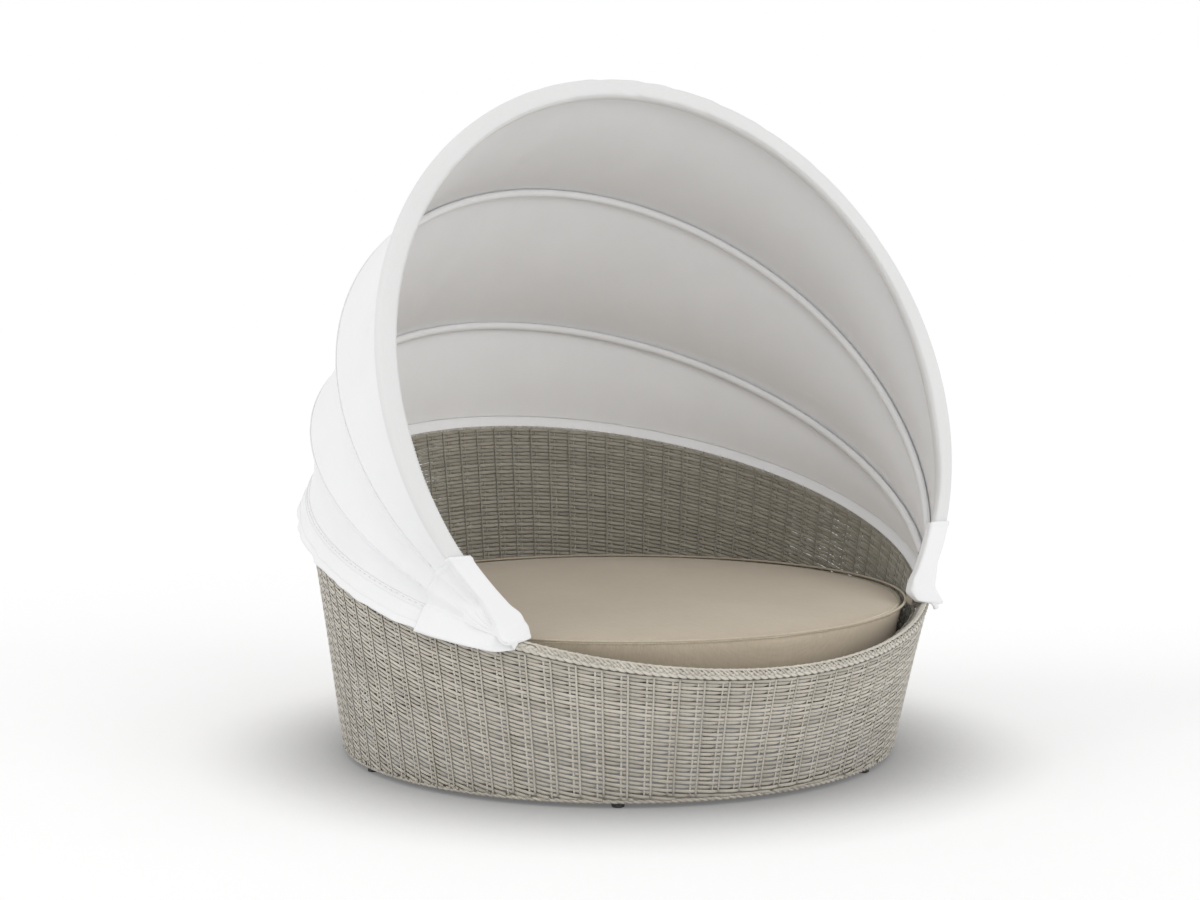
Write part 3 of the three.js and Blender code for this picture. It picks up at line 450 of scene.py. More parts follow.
def bump(tree, shader, height, distance, strength=1.0):
    node = add_node(tree, "ShaderNodeBump")
    node.inputs["Distance"].default_value = distance
    node.inputs["Strength"].default_value = strength
    tree.links.new(height, node.inputs["Height"])
    tree.links.new(node.outputs[0], shader.inputs["Normal"])


def object_vector(tree):
    return add_node(tree, "ShaderNodeTexCoord").outputs["Object"]


def strand_vector(tree):
    return add_node(tree, "ShaderNodeAttribute", attribute_name="strand").outputs["Vector"]


def fibre_material(name, pale, deep):
    """Flat synthetic fibre: streaks along each strand, a tone of its own that also carries painted shade
    where a strand sinks, and painted shade darkening its edges.
    """
    material, tree, shader = fresh_material(name)
    strand = strand_vector(tree)
    parts = add_node(tree, "ShaderNodeSeparateXYZ")
    tree.links.new(strand, parts.inputs[0])
    streaks = noise_node(tree, scaled_vector(tree, strand, (9.0, 5.0, 90.0)), 1.0, 4.0, 0.6)
    blotches = noise_node(tree, object_vector(tree), 14.0, 2.0)
    tone = math_node(tree, "ADD", math_node(tree, "MULTIPLY", parts.outputs[2], 0.62),
                     math_node(tree, "MULTIPLY", streaks, 0.38))
    tone = math_node(tree, "ADD", tone, remap(tree, blotches, 0.3, 0.7, -0.12, 0.12))
    color = color_mix(tree, tone, deep, pale)
    # Painted shade: the colour darkens towards each strand's edges.
    edge = math_node(tree, "POWER", math_node(tree, "ABSOLUTE", parts.outputs[1]), 4.0)
    painted_edge_shade = remap(tree, edge, 0.0, 1.0, 1.0, 0.72)
    tint(tree, shader, color, painted_edge_shade)
    tree.links.new(remap(tree, streaks, 0.3, 0.7, 0.42, 0.62), shader.inputs["Roughness"])
    shader.inputs["Sheen Weight"].default_value = 0.6
    shader.inputs["Sheen Roughness"].default_value = 0.45
    bump(tree, shader, streaks, 0.0005, 0.7)
    return material


def thread_height(tree, vector, pitch):
    """Bumps of a plain weave whose threads lie pitch apart in the first two coordinates."""
    parts = add_node(tree, "ShaderNodeSeparateXYZ")
    tree.links.new(vector, parts.inputs[0])
    waves = [
        math_node(tree, "SINE", math_node(tree, "MULTIPLY", parts.outputs[axis], math.pi / pitch))
        for axis in range(2)
    ]
    return math_node(tree, "MULTIPLY", waves[0], waves[1])


def canopy_material(name, color, pitch=0.0011):
    """Coated woven cloth: fine threads, faint clouding and soft creasing."""
    material, tree, shader = fresh_material(name)
    strand = strand_vector(tree)
    place = object_vector(tree)
    threads = thread_height(tree, strand, pitch)
    clouds = noise_node(tree, place, 5.0, 3.0)
    slubs = noise_node(tree, scaled_vector(tree, strand, (60.0, 900.0, 1.0)), 1.0, 2.0)
    value = math_node(tree, "ADD", remap(tree, clouds, 0.3, 0.7, 0.975, 1.0),
                      remap(tree, slubs, 0.3, 0.7, -0.012, 0.012))
    value = math_node(tree, "ADD", value, math_node(tree, "MULTIPLY", threads, 0.012))
    tint(tree, shader, color, value)
    tree.links.new(remap(tree, clouds, 0.3, 0.7, 0.72, 0.86), shader.inputs["Roughness"])
    shader.inputs["Sheen Weight"].default_value = 0.12
    shader.inputs["Specular IOR Level"].default_value = 0.3
    creases = noise_node(tree, place, 26.0, 2.0, 0.4)
    height = math_node(tree, "ADD", math_node(tree, "MULTIPLY", threads, 0.06), creases)
    bump(tree, shader, height, 0.0012, 0.55)
    return material


def cushion_material(name, pale, deep, pitch=0.0013):
    """Heathered outdoor weave whose threads cross in the cushion's own plane."""
    material, tree, shader = fresh_material(name)
    place = object_vector(tree)
    threads = thread_height(tree, place, pitch)
    warp = noise_node(tree, scaled_vector(tree, place, (520.0, 22.0, 60.0)), 1.0, 2.0)
    weft = noise_node(tree, scaled_vector(tree, place, (22.0, 520.0, 60.0)), 1.0, 2.0)
    clouds = noise_node(tree, place, 3.5, 3.0)
    heather = math_node(tree, "MULTIPLY", math_node(tree, "ADD", warp, weft), 0.5)
    tone = math_node(tree, "ADD", remap(tree, heather, 0.35, 0.65, 0.25, 0.75),
                     remap(tree, clouds, 0.3, 0.7, -0.12, 0.12))
    tone = math_node(tree, "ADD", tone, math_node(tree, "MULTIPLY", threads, 0.10))
    tree.links.new(color_mix(tree, tone, deep, pale), shader.inputs["Base Color"])
    tree.links.new(remap(tree, heather, 0.35, 0.65, 0.78, 0.92), shader.inputs["Roughness"])
    shader.inputs["Sheen Weight"].default_value = 0.2
    shader.inputs["Specular IOR Level"].default_value = 0.25
    creases = noise_node(tree, place, 9.0, 2.0, 0.4)
    height = math_node(tree, "ADD", math_node(tree, "MULTIPLY", threads, 0.12),
                       math_node(tree, "ADD", math_node(tree, "MULTIPLY", heather, 0.2), creases))
    bump(tree, shader, height, 0.0014, 0.6)
    return material


def powder_coat_material(name, color):
    material, tree, shader = fresh_material(name)
    place = object_vector(tree)
    grain = noise_node(tree, place, 900.0, 2.0)
    cloud = noise_node(tree, place, 12.0, 4.0)
    value = remap(tree, cloud, 0.3, 0.7, 0.93, 1.03)
    tint(tree, shader, color, value)
    rough = math_node(tree, "ADD", remap(tree, cloud, 0.3, 0.7, 0.40, 0.52),
                      remap(tree, grain, 0.3, 0.7, -0.04, 0.04))
    tree.links.new(rough, shader.inputs["Roughness"])
    shader.inputs["Coat Weight"].default_value = 0.15
    bump(tree, shader, grain, 0.0002, 0.5)
    return material


def brushed_steel_material(name, color):
    material, tree, shader = fresh_material(name)
    place = object_vector(tree)
    brush = noise_node(tree, scaled_vector(tree, place, (120.0, 2400.0, 2400.0)), 1.0, 3.0)
    stain = noise_node(tree, place, 60.0, 3.0)
    value = math_node(tree, "ADD", remap(tree, brush, 0.3, 0.7, 0.9, 1.0),
                      remap(tree, stain, 0.3, 0.7, -0.05, 0.03))
    tint(tree, shader, color, value)
    shader.inputs["Metallic"].default_value = 1.0
    tree.links.new(remap(tree, brush, 0.3, 0.7, 0.24, 0.40), shader.inputs["Roughness"])
    bump(tree, shader, brush, 0.00015, 0.4)
    return material


def moulded_plastic_material(name, color):
    material, tree, shader = fresh_material(name)
    place = object_vector(tree)
    grain = noise_node(tree, place, 1400.0, 2.0)
    scuffs = noise_node(tree, place, 90.0, 4.0)
    value = remap(tree, scuffs, 0.35, 0.7, 0.9, 1.25)
    tint(tree, shader, color, value)
    tree.links.new(remap(tree, scuffs, 0.3, 0.7, 0.5, 0.7), shader.inputs["Roughness"])
    bump(tree, shader, grain, 0.0002, 0.5)
    return material


def foam_material(name, color):
    material, tree, shader = fresh_material(name)
    place = object_vector(tree)
    cells = add_node(tree, "ShaderNodeTexVoronoi")
    cells.inputs["Scale"].default_value = 420.0
    tree.links.new(place, cells.inputs["Vector"])
    value = remap(tree, cells.outputs["Distance"], 0.0, 0.8, 0.82, 1.0)
    tint(tree, shader, color, value)
    tree.links.new(remap(tree, value, 0.8, 1.0, 1.0, 0.88), shader.inputs["Roughness"])
    bump(tree, shader, cells.outputs["Distance"], 0.0008, 0.8)
    return material


fibre = fibre_material("fibre_cream", (0.66, 0.612, 0.52), (0.30, 0.272, 0.222))
stake_fibre = fibre_material("fibre_stake", (0.70, 0.655, 0.57), (0.40, 0.368, 0.305))
# Painted shade: the inner weave's fibre is the outer fibre painted darker, for the shade inside the basket.
shaded_inner_fibre = fibre_material("fibre_inner_painted_shade", (0.38, 0.352, 0.285), (0.185, 0.168, 0.13))
canopy_cloth = canopy_material("cloth_canopy", (0.885, 0.885, 0.89))
# Painted shade: the sleeve is the canopy cloth painted greyer, for the shade on its front face.
shaded_sleeve_cloth = canopy_material("cloth_sleeve_painted_shade", (0.77, 0.77, 0.765))
thread_white = canopy_material("thread_white", (0.82, 0.82, 0.82), 0.0005)
cushion_cloth = cushion_material("cloth_cushion", (0.59, 0.51, 0.40), (0.45, 0.38, 0.285))
thread_taupe = cushion_material("thread_taupe", (0.44, 0.37, 0.28), (0.34, 0.28, 0.21), 0.0005)
powder_coat = powder_coat_material("powder_coat_beige", (0.50, 0.455, 0.38))
steel = brushed_steel_material("steel_brushed", (0.62, 0.62, 0.63))
plastic = moulded_plastic_material("plastic_dark", (0.035, 0.035, 0.035))
foam = foam_material("foam_cells", (0.80, 0.74, 0.58))

# Carried-over frame parts keep their shapes and get better finishes.

finish_of_word = {
    "basket_frame": powder_coat,
    "deck": powder_coat,
    "front_bow": powder_coat,
    "mid_bow": powder_coat,
    "rear_bow": powder_coat,
    "pivot_bracket": powder_coat,
    "pivot_pin": steel,
    "pivot_nut": steel,
    "bracket_bolt": steel,
    "glide_screw": steel,
    "pivot_spacer": plastic,
    "floor_glide": plastic,
}
for node_name, node_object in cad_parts.items():
    for word, finish in finish_of_word.items():
        if node_name.startswith(word):
            node_object.data.materials.clear()
            node_object.data.materials.append(finish)

# Woven wall: level rows parallel to the rim, paired over and under two stakes in each column

# One column of the weave: places of the stations, how far the long and the short strips stand
# out there, their widths, and the two stakes. Both strips run behind the second stake.
row_shares = np.array([0.0, 0.06, 0.14, 0.22, 0.32, 0.48, 0.56, 0.68, 0.78, 0.88, 0.95])
row_levels = np.array([
    [-1.0, -0.5, 0.6, 0.1, 0.7, 0.9, 1.0, 1.2, 0.7, 0.0, -0.9],
    [-1.0, -0.5, 0.6, 0.1, 0.7, 0.3, -0.6, -1.2, -0.2, 0.0, -0.9],
])
row_widths = np.array([
    [0.92, 1.0, 1.06, 1.0, 1.04, 1.06, 1.06, 1.08, 1.04, 0.98, 0.92],
    [0.92, 1.0, 1.06, 1.0, 1.04, 0.92, 0.74, 0.80, 0.92, 0.98, 0.92],
])
stake_shares = (0.68, 0.945)


def row_stations(phase):
    columns = np.arange(column_count)[:, None]
    return ((columns + row_shares[None, :]) * column_angle + phase).ravel()


def row_drops(first_row, depth):
    """Distances of the rows under the rim plane, which open out a little towards the floor."""
    drops = [first_row]
    while drops[-1] < depth:
        share = min(drops[-1] / row_pitch_depth, 1)
        drops.append(drops[-1] + mix(top_row_pitch, low_row_pitch, share))
    return np.array(drops)


strip_outline = np.array([
    [-0.5, 0.0], [-0.27, 0.44], [0.27, 0.44], [0.5, 0.0], [0.0, -0.5],
])
stake_outline = np.array([[-0.5, -0.3], [-0.28, 0.5], [0.28, 0.5], [0.5, -0.3]])


def strip_rings(path, outward, outline, width, thickness, closed_path):
    """Rings of a flat strip on its path, and each point's place along and across the strip."""
    along, side = path_frames(path, outward, closed_path)[:2]
    out = unit(np.cross(along, side))
    width = np.reshape(width, (-1, 1, 1))
    rings = path[:, None] + side[:, None] * (outline[None, :, :1] * width)
    rings = rings + out[:, None] * (outline[None, :, 1:] * thickness)
    strand = np.zeros((len(path), len(outline), 3))
    strand[..., 0] = length_along(path)[:, None]
    # The place across the strip also sets the fibre's painted edge shade.
    strand[..., 1] = outline[None, :, 0] * 2
    return rings, strand


def wall_outward(angle, height):
    step = 0.004
    lift = wall_radius(angle, height + step) - wall_radius(angle, height - step)
    lean = lift / (2 * step)
    outward = np.stack([np.sin(angle), -np.cos(angle), -lean], -1)
    return unit(outward)


def weave_rows(parity, phase, face_depth, facing, first_row, lowest):
    parts = Parts()
    stations = row_stations(phase)
    levels = np.tile(row_levels[parity], column_count)
    widths = np.tile(row_widths[parity], column_count) * strip_width
    if facing < 0:
        widths = widths * inner_width_share
    middle = face_depth - facing * weave_thickness / 2
    for row, drop in enumerate(row_drops(first_row, rim_back_height - lowest)):
        if row % 2 != parity:
            continue
        wander = smooth_random(len(stations), 11, 0.00045)
        depth = middle - facing * weave_swing * levels
        depth = depth + smooth_random(len(stations), 5, 0.00012)
        height = wall_top(stations, depth, drop) + wander
        inside = height > lowest
        if not inside.any():
            continue
        closed = bool(inside.all())
        angle, level, width = stations, levels, widths
        if not closed:
            order = np.argsort(stations % full_turn)
            kept = np.flatnonzero(inside[order])
            run = order[kept[0]:kept[-1] + 1]
            if len(run) < 4:
                continue
            angle, level, width, depth, height = (
                values[run] for values in (stations, levels, widths, depth, height)
            )
        path = around(angle, wall_radius(angle, height) - depth, height)
        outward = wall_outward(angle, height) * facing
        rings, strand = strip_rings(path, outward, strip_outline, width, strip_thickness, closed)
        # Painted shade: a strip's random tone is raised where it stands out and lowered where it sinks.
        tone = random.uniform(0.30, 0.85) + smooth_random(len(angle), 44, 0.10) + 0.20 * level
        strand[..., 2] = np.clip(tone, -0.2, 1.1)[:, None]
        strand[..., 0] += row * 3.7
        parts.add(rings, closed, strand)
    return parts


def weave_stakes(phase, face_depth, facing, first_row, lowest):
    parts = Parts()
    middle = face_depth - facing * weave_thickness / 2
    for column in range(column_count):
        for index, share in enumerate(stake_shares):
            angle = (column + share) * column_angle + phase
            top = float(rim_plane_at(-rim_radius * math.cos(angle)))
            drop = row_drops(first_row, top - lowest)
            over = np.where(np.arange(len(drop)) % 2 == 0, -1.0, 1.0) if index == 0 else 2.2
            drop = np.concatenate([[first_row - top_row_pitch * 0.3], drop])
            swing = np.broadcast_to(over, len(drop) - 1)
            depth = middle - facing * 0.00045 * np.concatenate([swing[:1], swing])
            angles = np.full(len(drop), angle)
            height = wall_top(angles, depth, drop)
            kept = height > lowest
            angles, depth, height = angles[kept], depth[kept], height[kept]
            angles = angles + smooth_random(len(angles), 4, 0.0004)
            path = around(angles, wall_radius(angles, height) - depth, height)
            outward = wall_outward(angles, height) * facing
            rings, strand = strip_rings(
                path, outward, stake_outline, stake_width, stake_thickness, False,
            )
            strand[..., 2] = random.uniform(0.5, 1.0) if index == 0 else random.uniform(0.1, 0.6)
            strand[..., 0] += column * 1.3
            parts.add(rings, False, strand)
    return parts


def twisted_edge(parts, centre, up, turns, swing, strand_radius, count, closed_path):
    """A pair of strands twisted round a centre line."""
    across, high = path_frames(centre, up, closed_path)[1:]
    place = np.arange(count) / count
    for start in (0.0, math.pi):
        turn = place * full_turn * turns + start
        path = (
            centre
            + across * (swing * np.cos(turn))[:, None]
            + high * (swing * np.sin(turn))[:, None]
        )
        section = round_section(6) * strand_radius
        rings = tube_rings(path, up, section, closed_path)
        strand = np.zeros(rings.shape)
        strand[..., 0] = (place * 5.3)[:, None]
        # The place across each round strand, top to bottom, sets the fibre's painted edge shade.
        strand[..., 1] = section[None, :, 1] / strand_radius * 0.8
        strand[..., 2] = 0.75 + smooth_random(count, 12, 0.12)[:, None]
        parts.add(rings, closed_path, strand)


def in_hinge_gap(points):
    near_x = np.abs(np.abs(points[..., 0]) - hinge_pin_x) < bracket_gap_x
    near_y = np.abs(points[..., 1] + hinge_forward) < bracket_gap_y
    return near_x & near_y


# The narrow border over the two walls, from the foot of its inner slope over the top and down
rim_section = np.array([
    [0.8452, -0.0250], [0.8448, -0.0190], [0.8500, -0.0130], [0.8565, -0.0065],
    [0.8625, -0.0010], [0.8670, 0.0020], [0.8705, 0.0008], [0.8722, -0.0040],
    [0.8716, -0.0100],
])
rim_section_centre = (0.862, -0.018)
rim_peak_radius = 0.867
rim_peak_rise = 0.002
wraps_per_column = 5
wrap_slant_degrees = 3.6
wrap_width = 0.0102
wrap_thickness = 0.0022


def rim_wraps():
    """Slanted strips laid over the border, each with one edge over its neighbour."""
    parts = Parts()
    count = column_count * wraps_per_column
    steps = np.linspace(0, 1, len(rim_section))
    slant = math.radians(wrap_slant_degrees)
    for index in range(count):
        start = index * full_turn / count + random.normal(0, 0.0010)
        angle = start + slant * (steps - 0.5)
        over = 0.0008 * np.sin(steps * math.pi * 2 + index * math.pi)
        path = rim_point(angle, rim_section[:, 0], rim_section[:, 1] - 0.0008)
        if in_hinge_gap(path).any():
            continue
        centre = rim_point(angle, *rim_section_centre)
        outward = unit(path - centre)
        path = path + outward * (over + 0.0002)[:, None]
        rings, strand = strip_rings(
            path, outward, strip_outline, wrap_width, wrap_thickness, False,
        )
        strand[..., 2] = random.uniform(0.35, 1.0)
        strand[..., 0] += index * 0.31
        parts.add(rings, False, strand)
    return parts


def open_runs(points):
    """Runs of a closed line that stay clear of the hinge brackets."""
    count = len(points)
    clear = ~in_hinge_gap(points)
    order = np.roll(np.arange(count), -int(np.flatnonzero(~clear)[0]))
    edges = np.flatnonzero(np.diff(clear[order].astype(int)))
    return [run for run in np.split(order, edges + 1) if clear[run[0]] and len(run) > 3]


def rope_runs(parts, radius, rise, swing, strand_radius):
    """A twisted edge that goes all the way round but stops at the hinge brackets."""
    count = column_count * 12
    angles = np.arange(count) * full_turn / count
    centre = rim_point(angles, radius, rise)
    for run in open_runs(centre):
        turns = len(run) / count * column_count * edge_turns
        twisted_edge(parts, centre[run], upright, turns, swing, strand_radius, len(run), False)


def rim_braid(parts, radius, rise, swing, lift, width, thickness):
    """A flat plait of three strips round the outer face of the border."""
    steps = 16
    count = column_count * steps
    angles = np.arange(count) * full_turn / count + math.radians(outer_phase_degrees)
    turn = np.arange(count) * full_turn / steps
    centre = rim_point(angles, radius, rise)
    outward = around(angles, 1.0, 0.0)
    for strand_index in range(3):
        phase = turn + strand_index * full_turn / 3
        path = centre + outward * (lift * np.sin(2 * phase))[:, None]
        path[:, 2] += swing * np.sin(phase)
        for run in open_runs(path):
            rings, strand = strip_rings(
                path[run], outward[run], strip_outline, width, thickness, False,
            )
            # Painted shade: the tone rises where a strip of the plait stands out and falls where it lies
            # back.
            tone = 0.85 + smooth_random(len(run), 20, 0.10) + 0.15 * np.sin(2 * phase[run])
            strand[..., 2] = np.clip(tone, 0, 1.2)[:, None]
            strand[..., 0] += strand_index * 2.1
            parts.add(rings, False, strand)


def build_weave():
    outer_phase = math.radians(outer_phase_degrees)
    inner_phase = math.radians(inner_phase_degrees)
    outer_low = frame_bottom + 0.012
    inner_low = deck_ring_top + 0.008
    pieces = []
    for parity, word in enumerate(("first", "second")):
        rows = weave_rows(parity, outer_phase, 0.0, 1, outer_first_row, outer_low)
        pieces.append(rows.piece(f"outer_rows_{word}", fibre, "woven_fibre"))
    stakes = weave_stakes(outer_phase, 0.0, 1, outer_first_row, frame_bottom + 0.004)
    pieces.append(stakes.piece("outer_stakes", stake_fibre, "woven_fibre"))
    edge = Parts()
    count = column_count * 12
    angles = np.arange(count) * full_turn / count
    centre = around(angles, wall_radius(angles, 0.0175) - 0.0028, 0.0178)
    turns = column_count * edge_turns
    twisted_edge(edge, centre, upright, turns, 0.0026, 0.0040, count, True)
    pieces.append(edge.piece("base_edge_strands", fibre, "woven_fibre"))
    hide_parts("outer_weave")

    face = inner_face + weave_thickness
    for parity, word in enumerate(("first", "second")):
        rows = weave_rows(parity, inner_phase, face, -1, inner_first_row, inner_low)
        pieces.append(rows.piece(f"inner_rows_{word}", shaded_inner_fibre, "woven_fibre"))
    stakes = weave_stakes(inner_phase, face, -1, inner_first_row, deck_ring_top + 0.003)
    pieces.append(stakes.piece("inner_stakes", shaded_inner_fibre, "woven_fibre"))
    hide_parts("inner_weave")

    wraps = rim_wraps().piece("rim_wraps", stake_fibre, "woven_fibre")
    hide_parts("rim_weave_front", "rim_weave_back")
    pieces.append(wraps)
    ropes = Parts()
    rim_braid(ropes, rim_radius - 0.0002, -0.0125, 0.0066, 0.0011, 0.0094, 0.0022)
    rope_runs(ropes, rim_radius - 0.0022, rim_peak_rise - 0.0006, 0.0011, 0.0021)
    rope_runs(ropes, rim_section[0, 0] + 0.0012, rim_section[0, 1] - 0.0006, 0.0016, 0.0026)
    pieces.append(ropes.piece("rim_ropes", stake_fibre, "woven_fibre"))
    for piece in pieces:
        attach(piece, "basket")


build_weave()

# Bows and the surfaces that follow them

hinge_point = np.array([0.0, -hinge_forward, rim_plane_at(-hinge_forward) + hinge_lift])


def bow_shape(half_width, reach, lean_degrees, tube, eye_step, cloth_start):
    pin_x = hinge_pin_x + eye_step * eye_pitch
    pin_share = math.sqrt(1 - (pin_x / half_width) ** 2)
    centre = reach * pin_share / (1 + pin_share)
    lean = math.radians(lean_degrees)
    return {
        "half_width": half_width,
        "reach": reach,
        "lean": lean,
        "tube": tube,
        "cloth_start": cloth_start,
        "pin_x": pin_x,
        "centre": centre,
        "rise": reach - centre,
        "along": np.array([0.0, math.cos(lean), math.sin(lean)]),
        "across": np.array([0.0, -math.sin(lean), math.cos(lean)]),
    }


bows = {
    "front": bow_shape(0.848, 1.4902, 67.7, 0.011, -1, 0.175),
    "mid": bow_shape(0.861, 1.5125, 47.1, 0.0075, 0, 0.165),
    "rear": bow_shape(0.858, 1.5356, 27.3, 0.0075, 1, 0.165),
}


def in_bow_plane(bow, x, reach, lift):
    x, reach, lift = np.broadcast_arrays(x, reach, lift)
    offset = np.zeros(x.shape + (3,))
    offset[..., 0] = x
    return (
        hinge_point + offset
        + reach[..., None] * bow["along"]
        + lift[..., None] * bow["across"]
    )


def beside_bow(bow, turn, out, lift):
    nx = np.cos(turn) / bow["half_width"]
    ny = np.sin(turn) / bow["rise"]
    size = np.hypot(nx, ny)
    x = bow["half_width"] * np.cos(turn) + nx / size * out
    reach = bow["centre"] + bow["rise"] * np.sin(turn) + ny / size * out
    return in_bow_plane(bow, x, reach, lift)


def turn_at(bow, reach):
    return math.asin((reach - bow["centre"]) / bow["rise"])


def arc_turns(bow, start_reach, count):
    start = turn_at(bow, start_reach)
    return np.linspace(start, math.pi - start, count)


def bow_tube(bow, start_reach, count, section):
    """Rings about a bow; the section gives (out, lift) pairs, one set or one for each station."""
    turns = arc_turns(bow, start_reach, count)
    section = np.asarray(section)
    if section.ndim == 2:
        section = np.broadcast_to(section, (count,) + section.shape)
    return beside_bow(bow, turns[:, None], section[..., 0], section[..., 1])


def tube_strand(rings):
    """Lengths along and round a tube in metres at each of its points."""
    corners = rings.shape[1]
    girth = np.linalg.norm(np.diff(rings, axis=1), axis=2).sum(1).mean()
    strand = np.zeros(rings.shape)
    strand[..., 0] = length_along(rings.mean(1))[:, None]
    strand[..., 1] = np.arange(corners) / corners * girth
    return strand.reshape(-1, 3)


def ring_piece(name, rings, material, closed_path=False):
    count, corners = rings.shape[:2]
    return make_piece(
        name, rings.reshape(-1, 3), loft_quads(count, corners, closed_path), material,
        ends=[] if closed_path else loft_ends(count, corners), strand=tube_strand(rings),
    )


def hollow_piece(name, outer, inner, material):
    """A cloth tube with an outer and an inner wall, open at both ends."""
    count, corners = outer.shape[:2]
    points = np.concatenate([outer.reshape(-1, 3), inner.reshape(-1, 3)])
    walls = loft_quads(count, corners, False)
    lining = loft_quads(count, corners, False)[:, ::-1] + count * corners
    lips = []
    for ring, flips in ((0, False), (count - 1, True)):
        first = ring * corners + np.arange(corners)
        after = ring * corners + (np.arange(corners) + 1) % corners
        lip = np.stack([first, first + count * corners, after + count * corners, after], -1)
        lips.append(lip[:, ::-1] if flips else lip)
    quads = np.concatenate([walls, lining, *lips])
    strand = tube_strand(outer)
    both = np.concatenate([strand, strand])
    return make_piece(name, points, quads, material, strand=both)


def stitch_parts(parts, path, outward, length=0.0055, gap=0.0030, radius=0.0006):
    """Short raised threads laid end to end along a path."""
    place = length_along(path)
    count = int(place[-1] / (length + gap))
    section = round_section(5) * radius * np.array([1.25, 1.0])
    for index in range(count):
        start = index * (length + gap)
        stations = start + length * np.array([0.0, 0.15, 0.5, 0.85, 1.0])
        line = np.stack([np.interp(stations, place, path[:, axis]) for axis in range(3)], -1)
        up = np.stack([np.interp(stations, place, outward[:, axis]) for axis in range(3)], -1)
        line = line + unit(up) * (radius * np.array([-0.8, 0.3, 0.6, 0.3, -0.8]))[:, None]
        parts.add(tube_rings(line, up, section), False)


# Canopy: one sheet from the rim over the rear and middle bows to the front sleeve

canopy_columns = 221
canopy_start_reach = 0.085
panel_shares = np.array([
    0, 0.018, 0.05, 0.11, 0.2, 0.31, 0.43, 0.55, 0.67, 0.78, 0.87, 0.94, 0.98,
])
sag_centre = np.array([
    0.0, hinge_point[1] + bows["mid"]["reach"] / 4, hinge_point[2] + bows["mid"]["reach"] / 4,
])
ridge_stand = (pocket_radius + cloth_gap + cloth_thickness / 2) / 0.88
ridge_lead = 0.0022
pull_arc_length = 2.95
panel_sags = {"rear": 0.016, "mid": 0.034, "front": 0.030}

# How far each bow follows the front bow, by its angle about the hinge line, from the rim up.
fold_degrees = [16.5, 27.3, 47.1, 67.7]
fold_shares = [0.0, 0.20, 0.59, 1.0]

# Soft pulls in the cloth: panel, place along the arc and across the panel at both ends, depth
# and half width. The arc runs from the right hinge to the left one.
pulls = [
    ("front", 0.760, 0.97, 0.800, 0.22, 0.0085, 0.020),
    ("front", 0.640, 0.95, 0.690, 0.20, 0.0080, 0.021),
    ("front", 0.525, 0.90, 0.572, 0.16, 0.0065, 0.024),
    ("front", 0.425, 0.80, 0.455, 0.15, 0.0055, 0.024),
    ("front", 0.300, 0.85, 0.322, 0.30, 0.0040, 0.026),
    ("mid", 0.640, 0.78, 0.662, 0.20, 0.0085, 0.021),
    ("mid", 0.716, 0.70, 0.724, 0.18, 0.0050, 0.018),
    ("mid", 0.560, 0.66, 0.584, 0.20, 0.0065, 0.022),
    ("mid", 0.470, 0.62, 0.486, 0.12, 0.0055, 0.026),
    ("mid", 0.330, 0.70, 0.345, 0.25, 0.0035, 0.030),
    ("rear", 0.700, 0.70, 0.708, 0.25, 0.0025, 0.030),
]


def pull_depth(panel_name, place, share, arc_length, panel_width):
    """How far the pulls press the cloth inwards at a grid of places."""
    depth = np.zeros(place.shape)
    for name, s0, w0, s1, w1, deep, half in pulls:
        if name != panel_name:
            continue
        start = np.array([s0 * arc_length, w0 * panel_width])
        end = np.array([s1 * arc_length, w1 * panel_width])
        here = np.stack([place * arc_length, share * panel_width], -1)
        line = end - start
        along = np.clip(((here - start) @ line) / (line @ line), 0, 1)
        nearest = start + along[..., None] * line
        gap = np.linalg.norm(here - nearest, axis=-1)
        depth += deep * np.sin(math.pi * np.clip(along, 0.06, 0.94)) * np.exp(-((gap / half) ** 2))
        rim = np.exp(-(((gap - 1.9 * half) / (0.8 * half)) ** 2))
        depth -= 0.28 * deep * np.sin(math.pi * along) * rim
    return depth


def bow_edge(bow, out, lift):
    return beside_bow(bow, arc_turns(bow, canopy_start_reach, canopy_columns), out, lift)


def rim_edge(radius, rise):
    first = math.acos((hinge_forward - canopy_start_reach) / rim_radius)
    angles = np.linspace(first, full_turn - first, canopy_columns)
    return rim_point(angles, radius, rise)


def panel_rows(name, low, high, sag, shares):
    place = np.linspace(0, 1, canopy_columns)
    spread = np.sqrt(np.sin(math.pi * np.clip(place, 0, 1)).clip(0))
    inward = unit(sag_centre - (low + high) / 2)
    width = np.linalg.norm(high - low, axis=1)
    rows = []
    for share in shares:
        flat = low + (high - low) * share
        hollow = 1 - (2 * share - 1) ** 2
        drape = hollow * (sag * spread)
        column_share = np.full(canopy_columns, share)
        pull = pull_depth(name, place, column_share, pull_arc_length, float(width.max()))
        rows.append(flat + inward * (drape + pull)[:, None])
    return rows


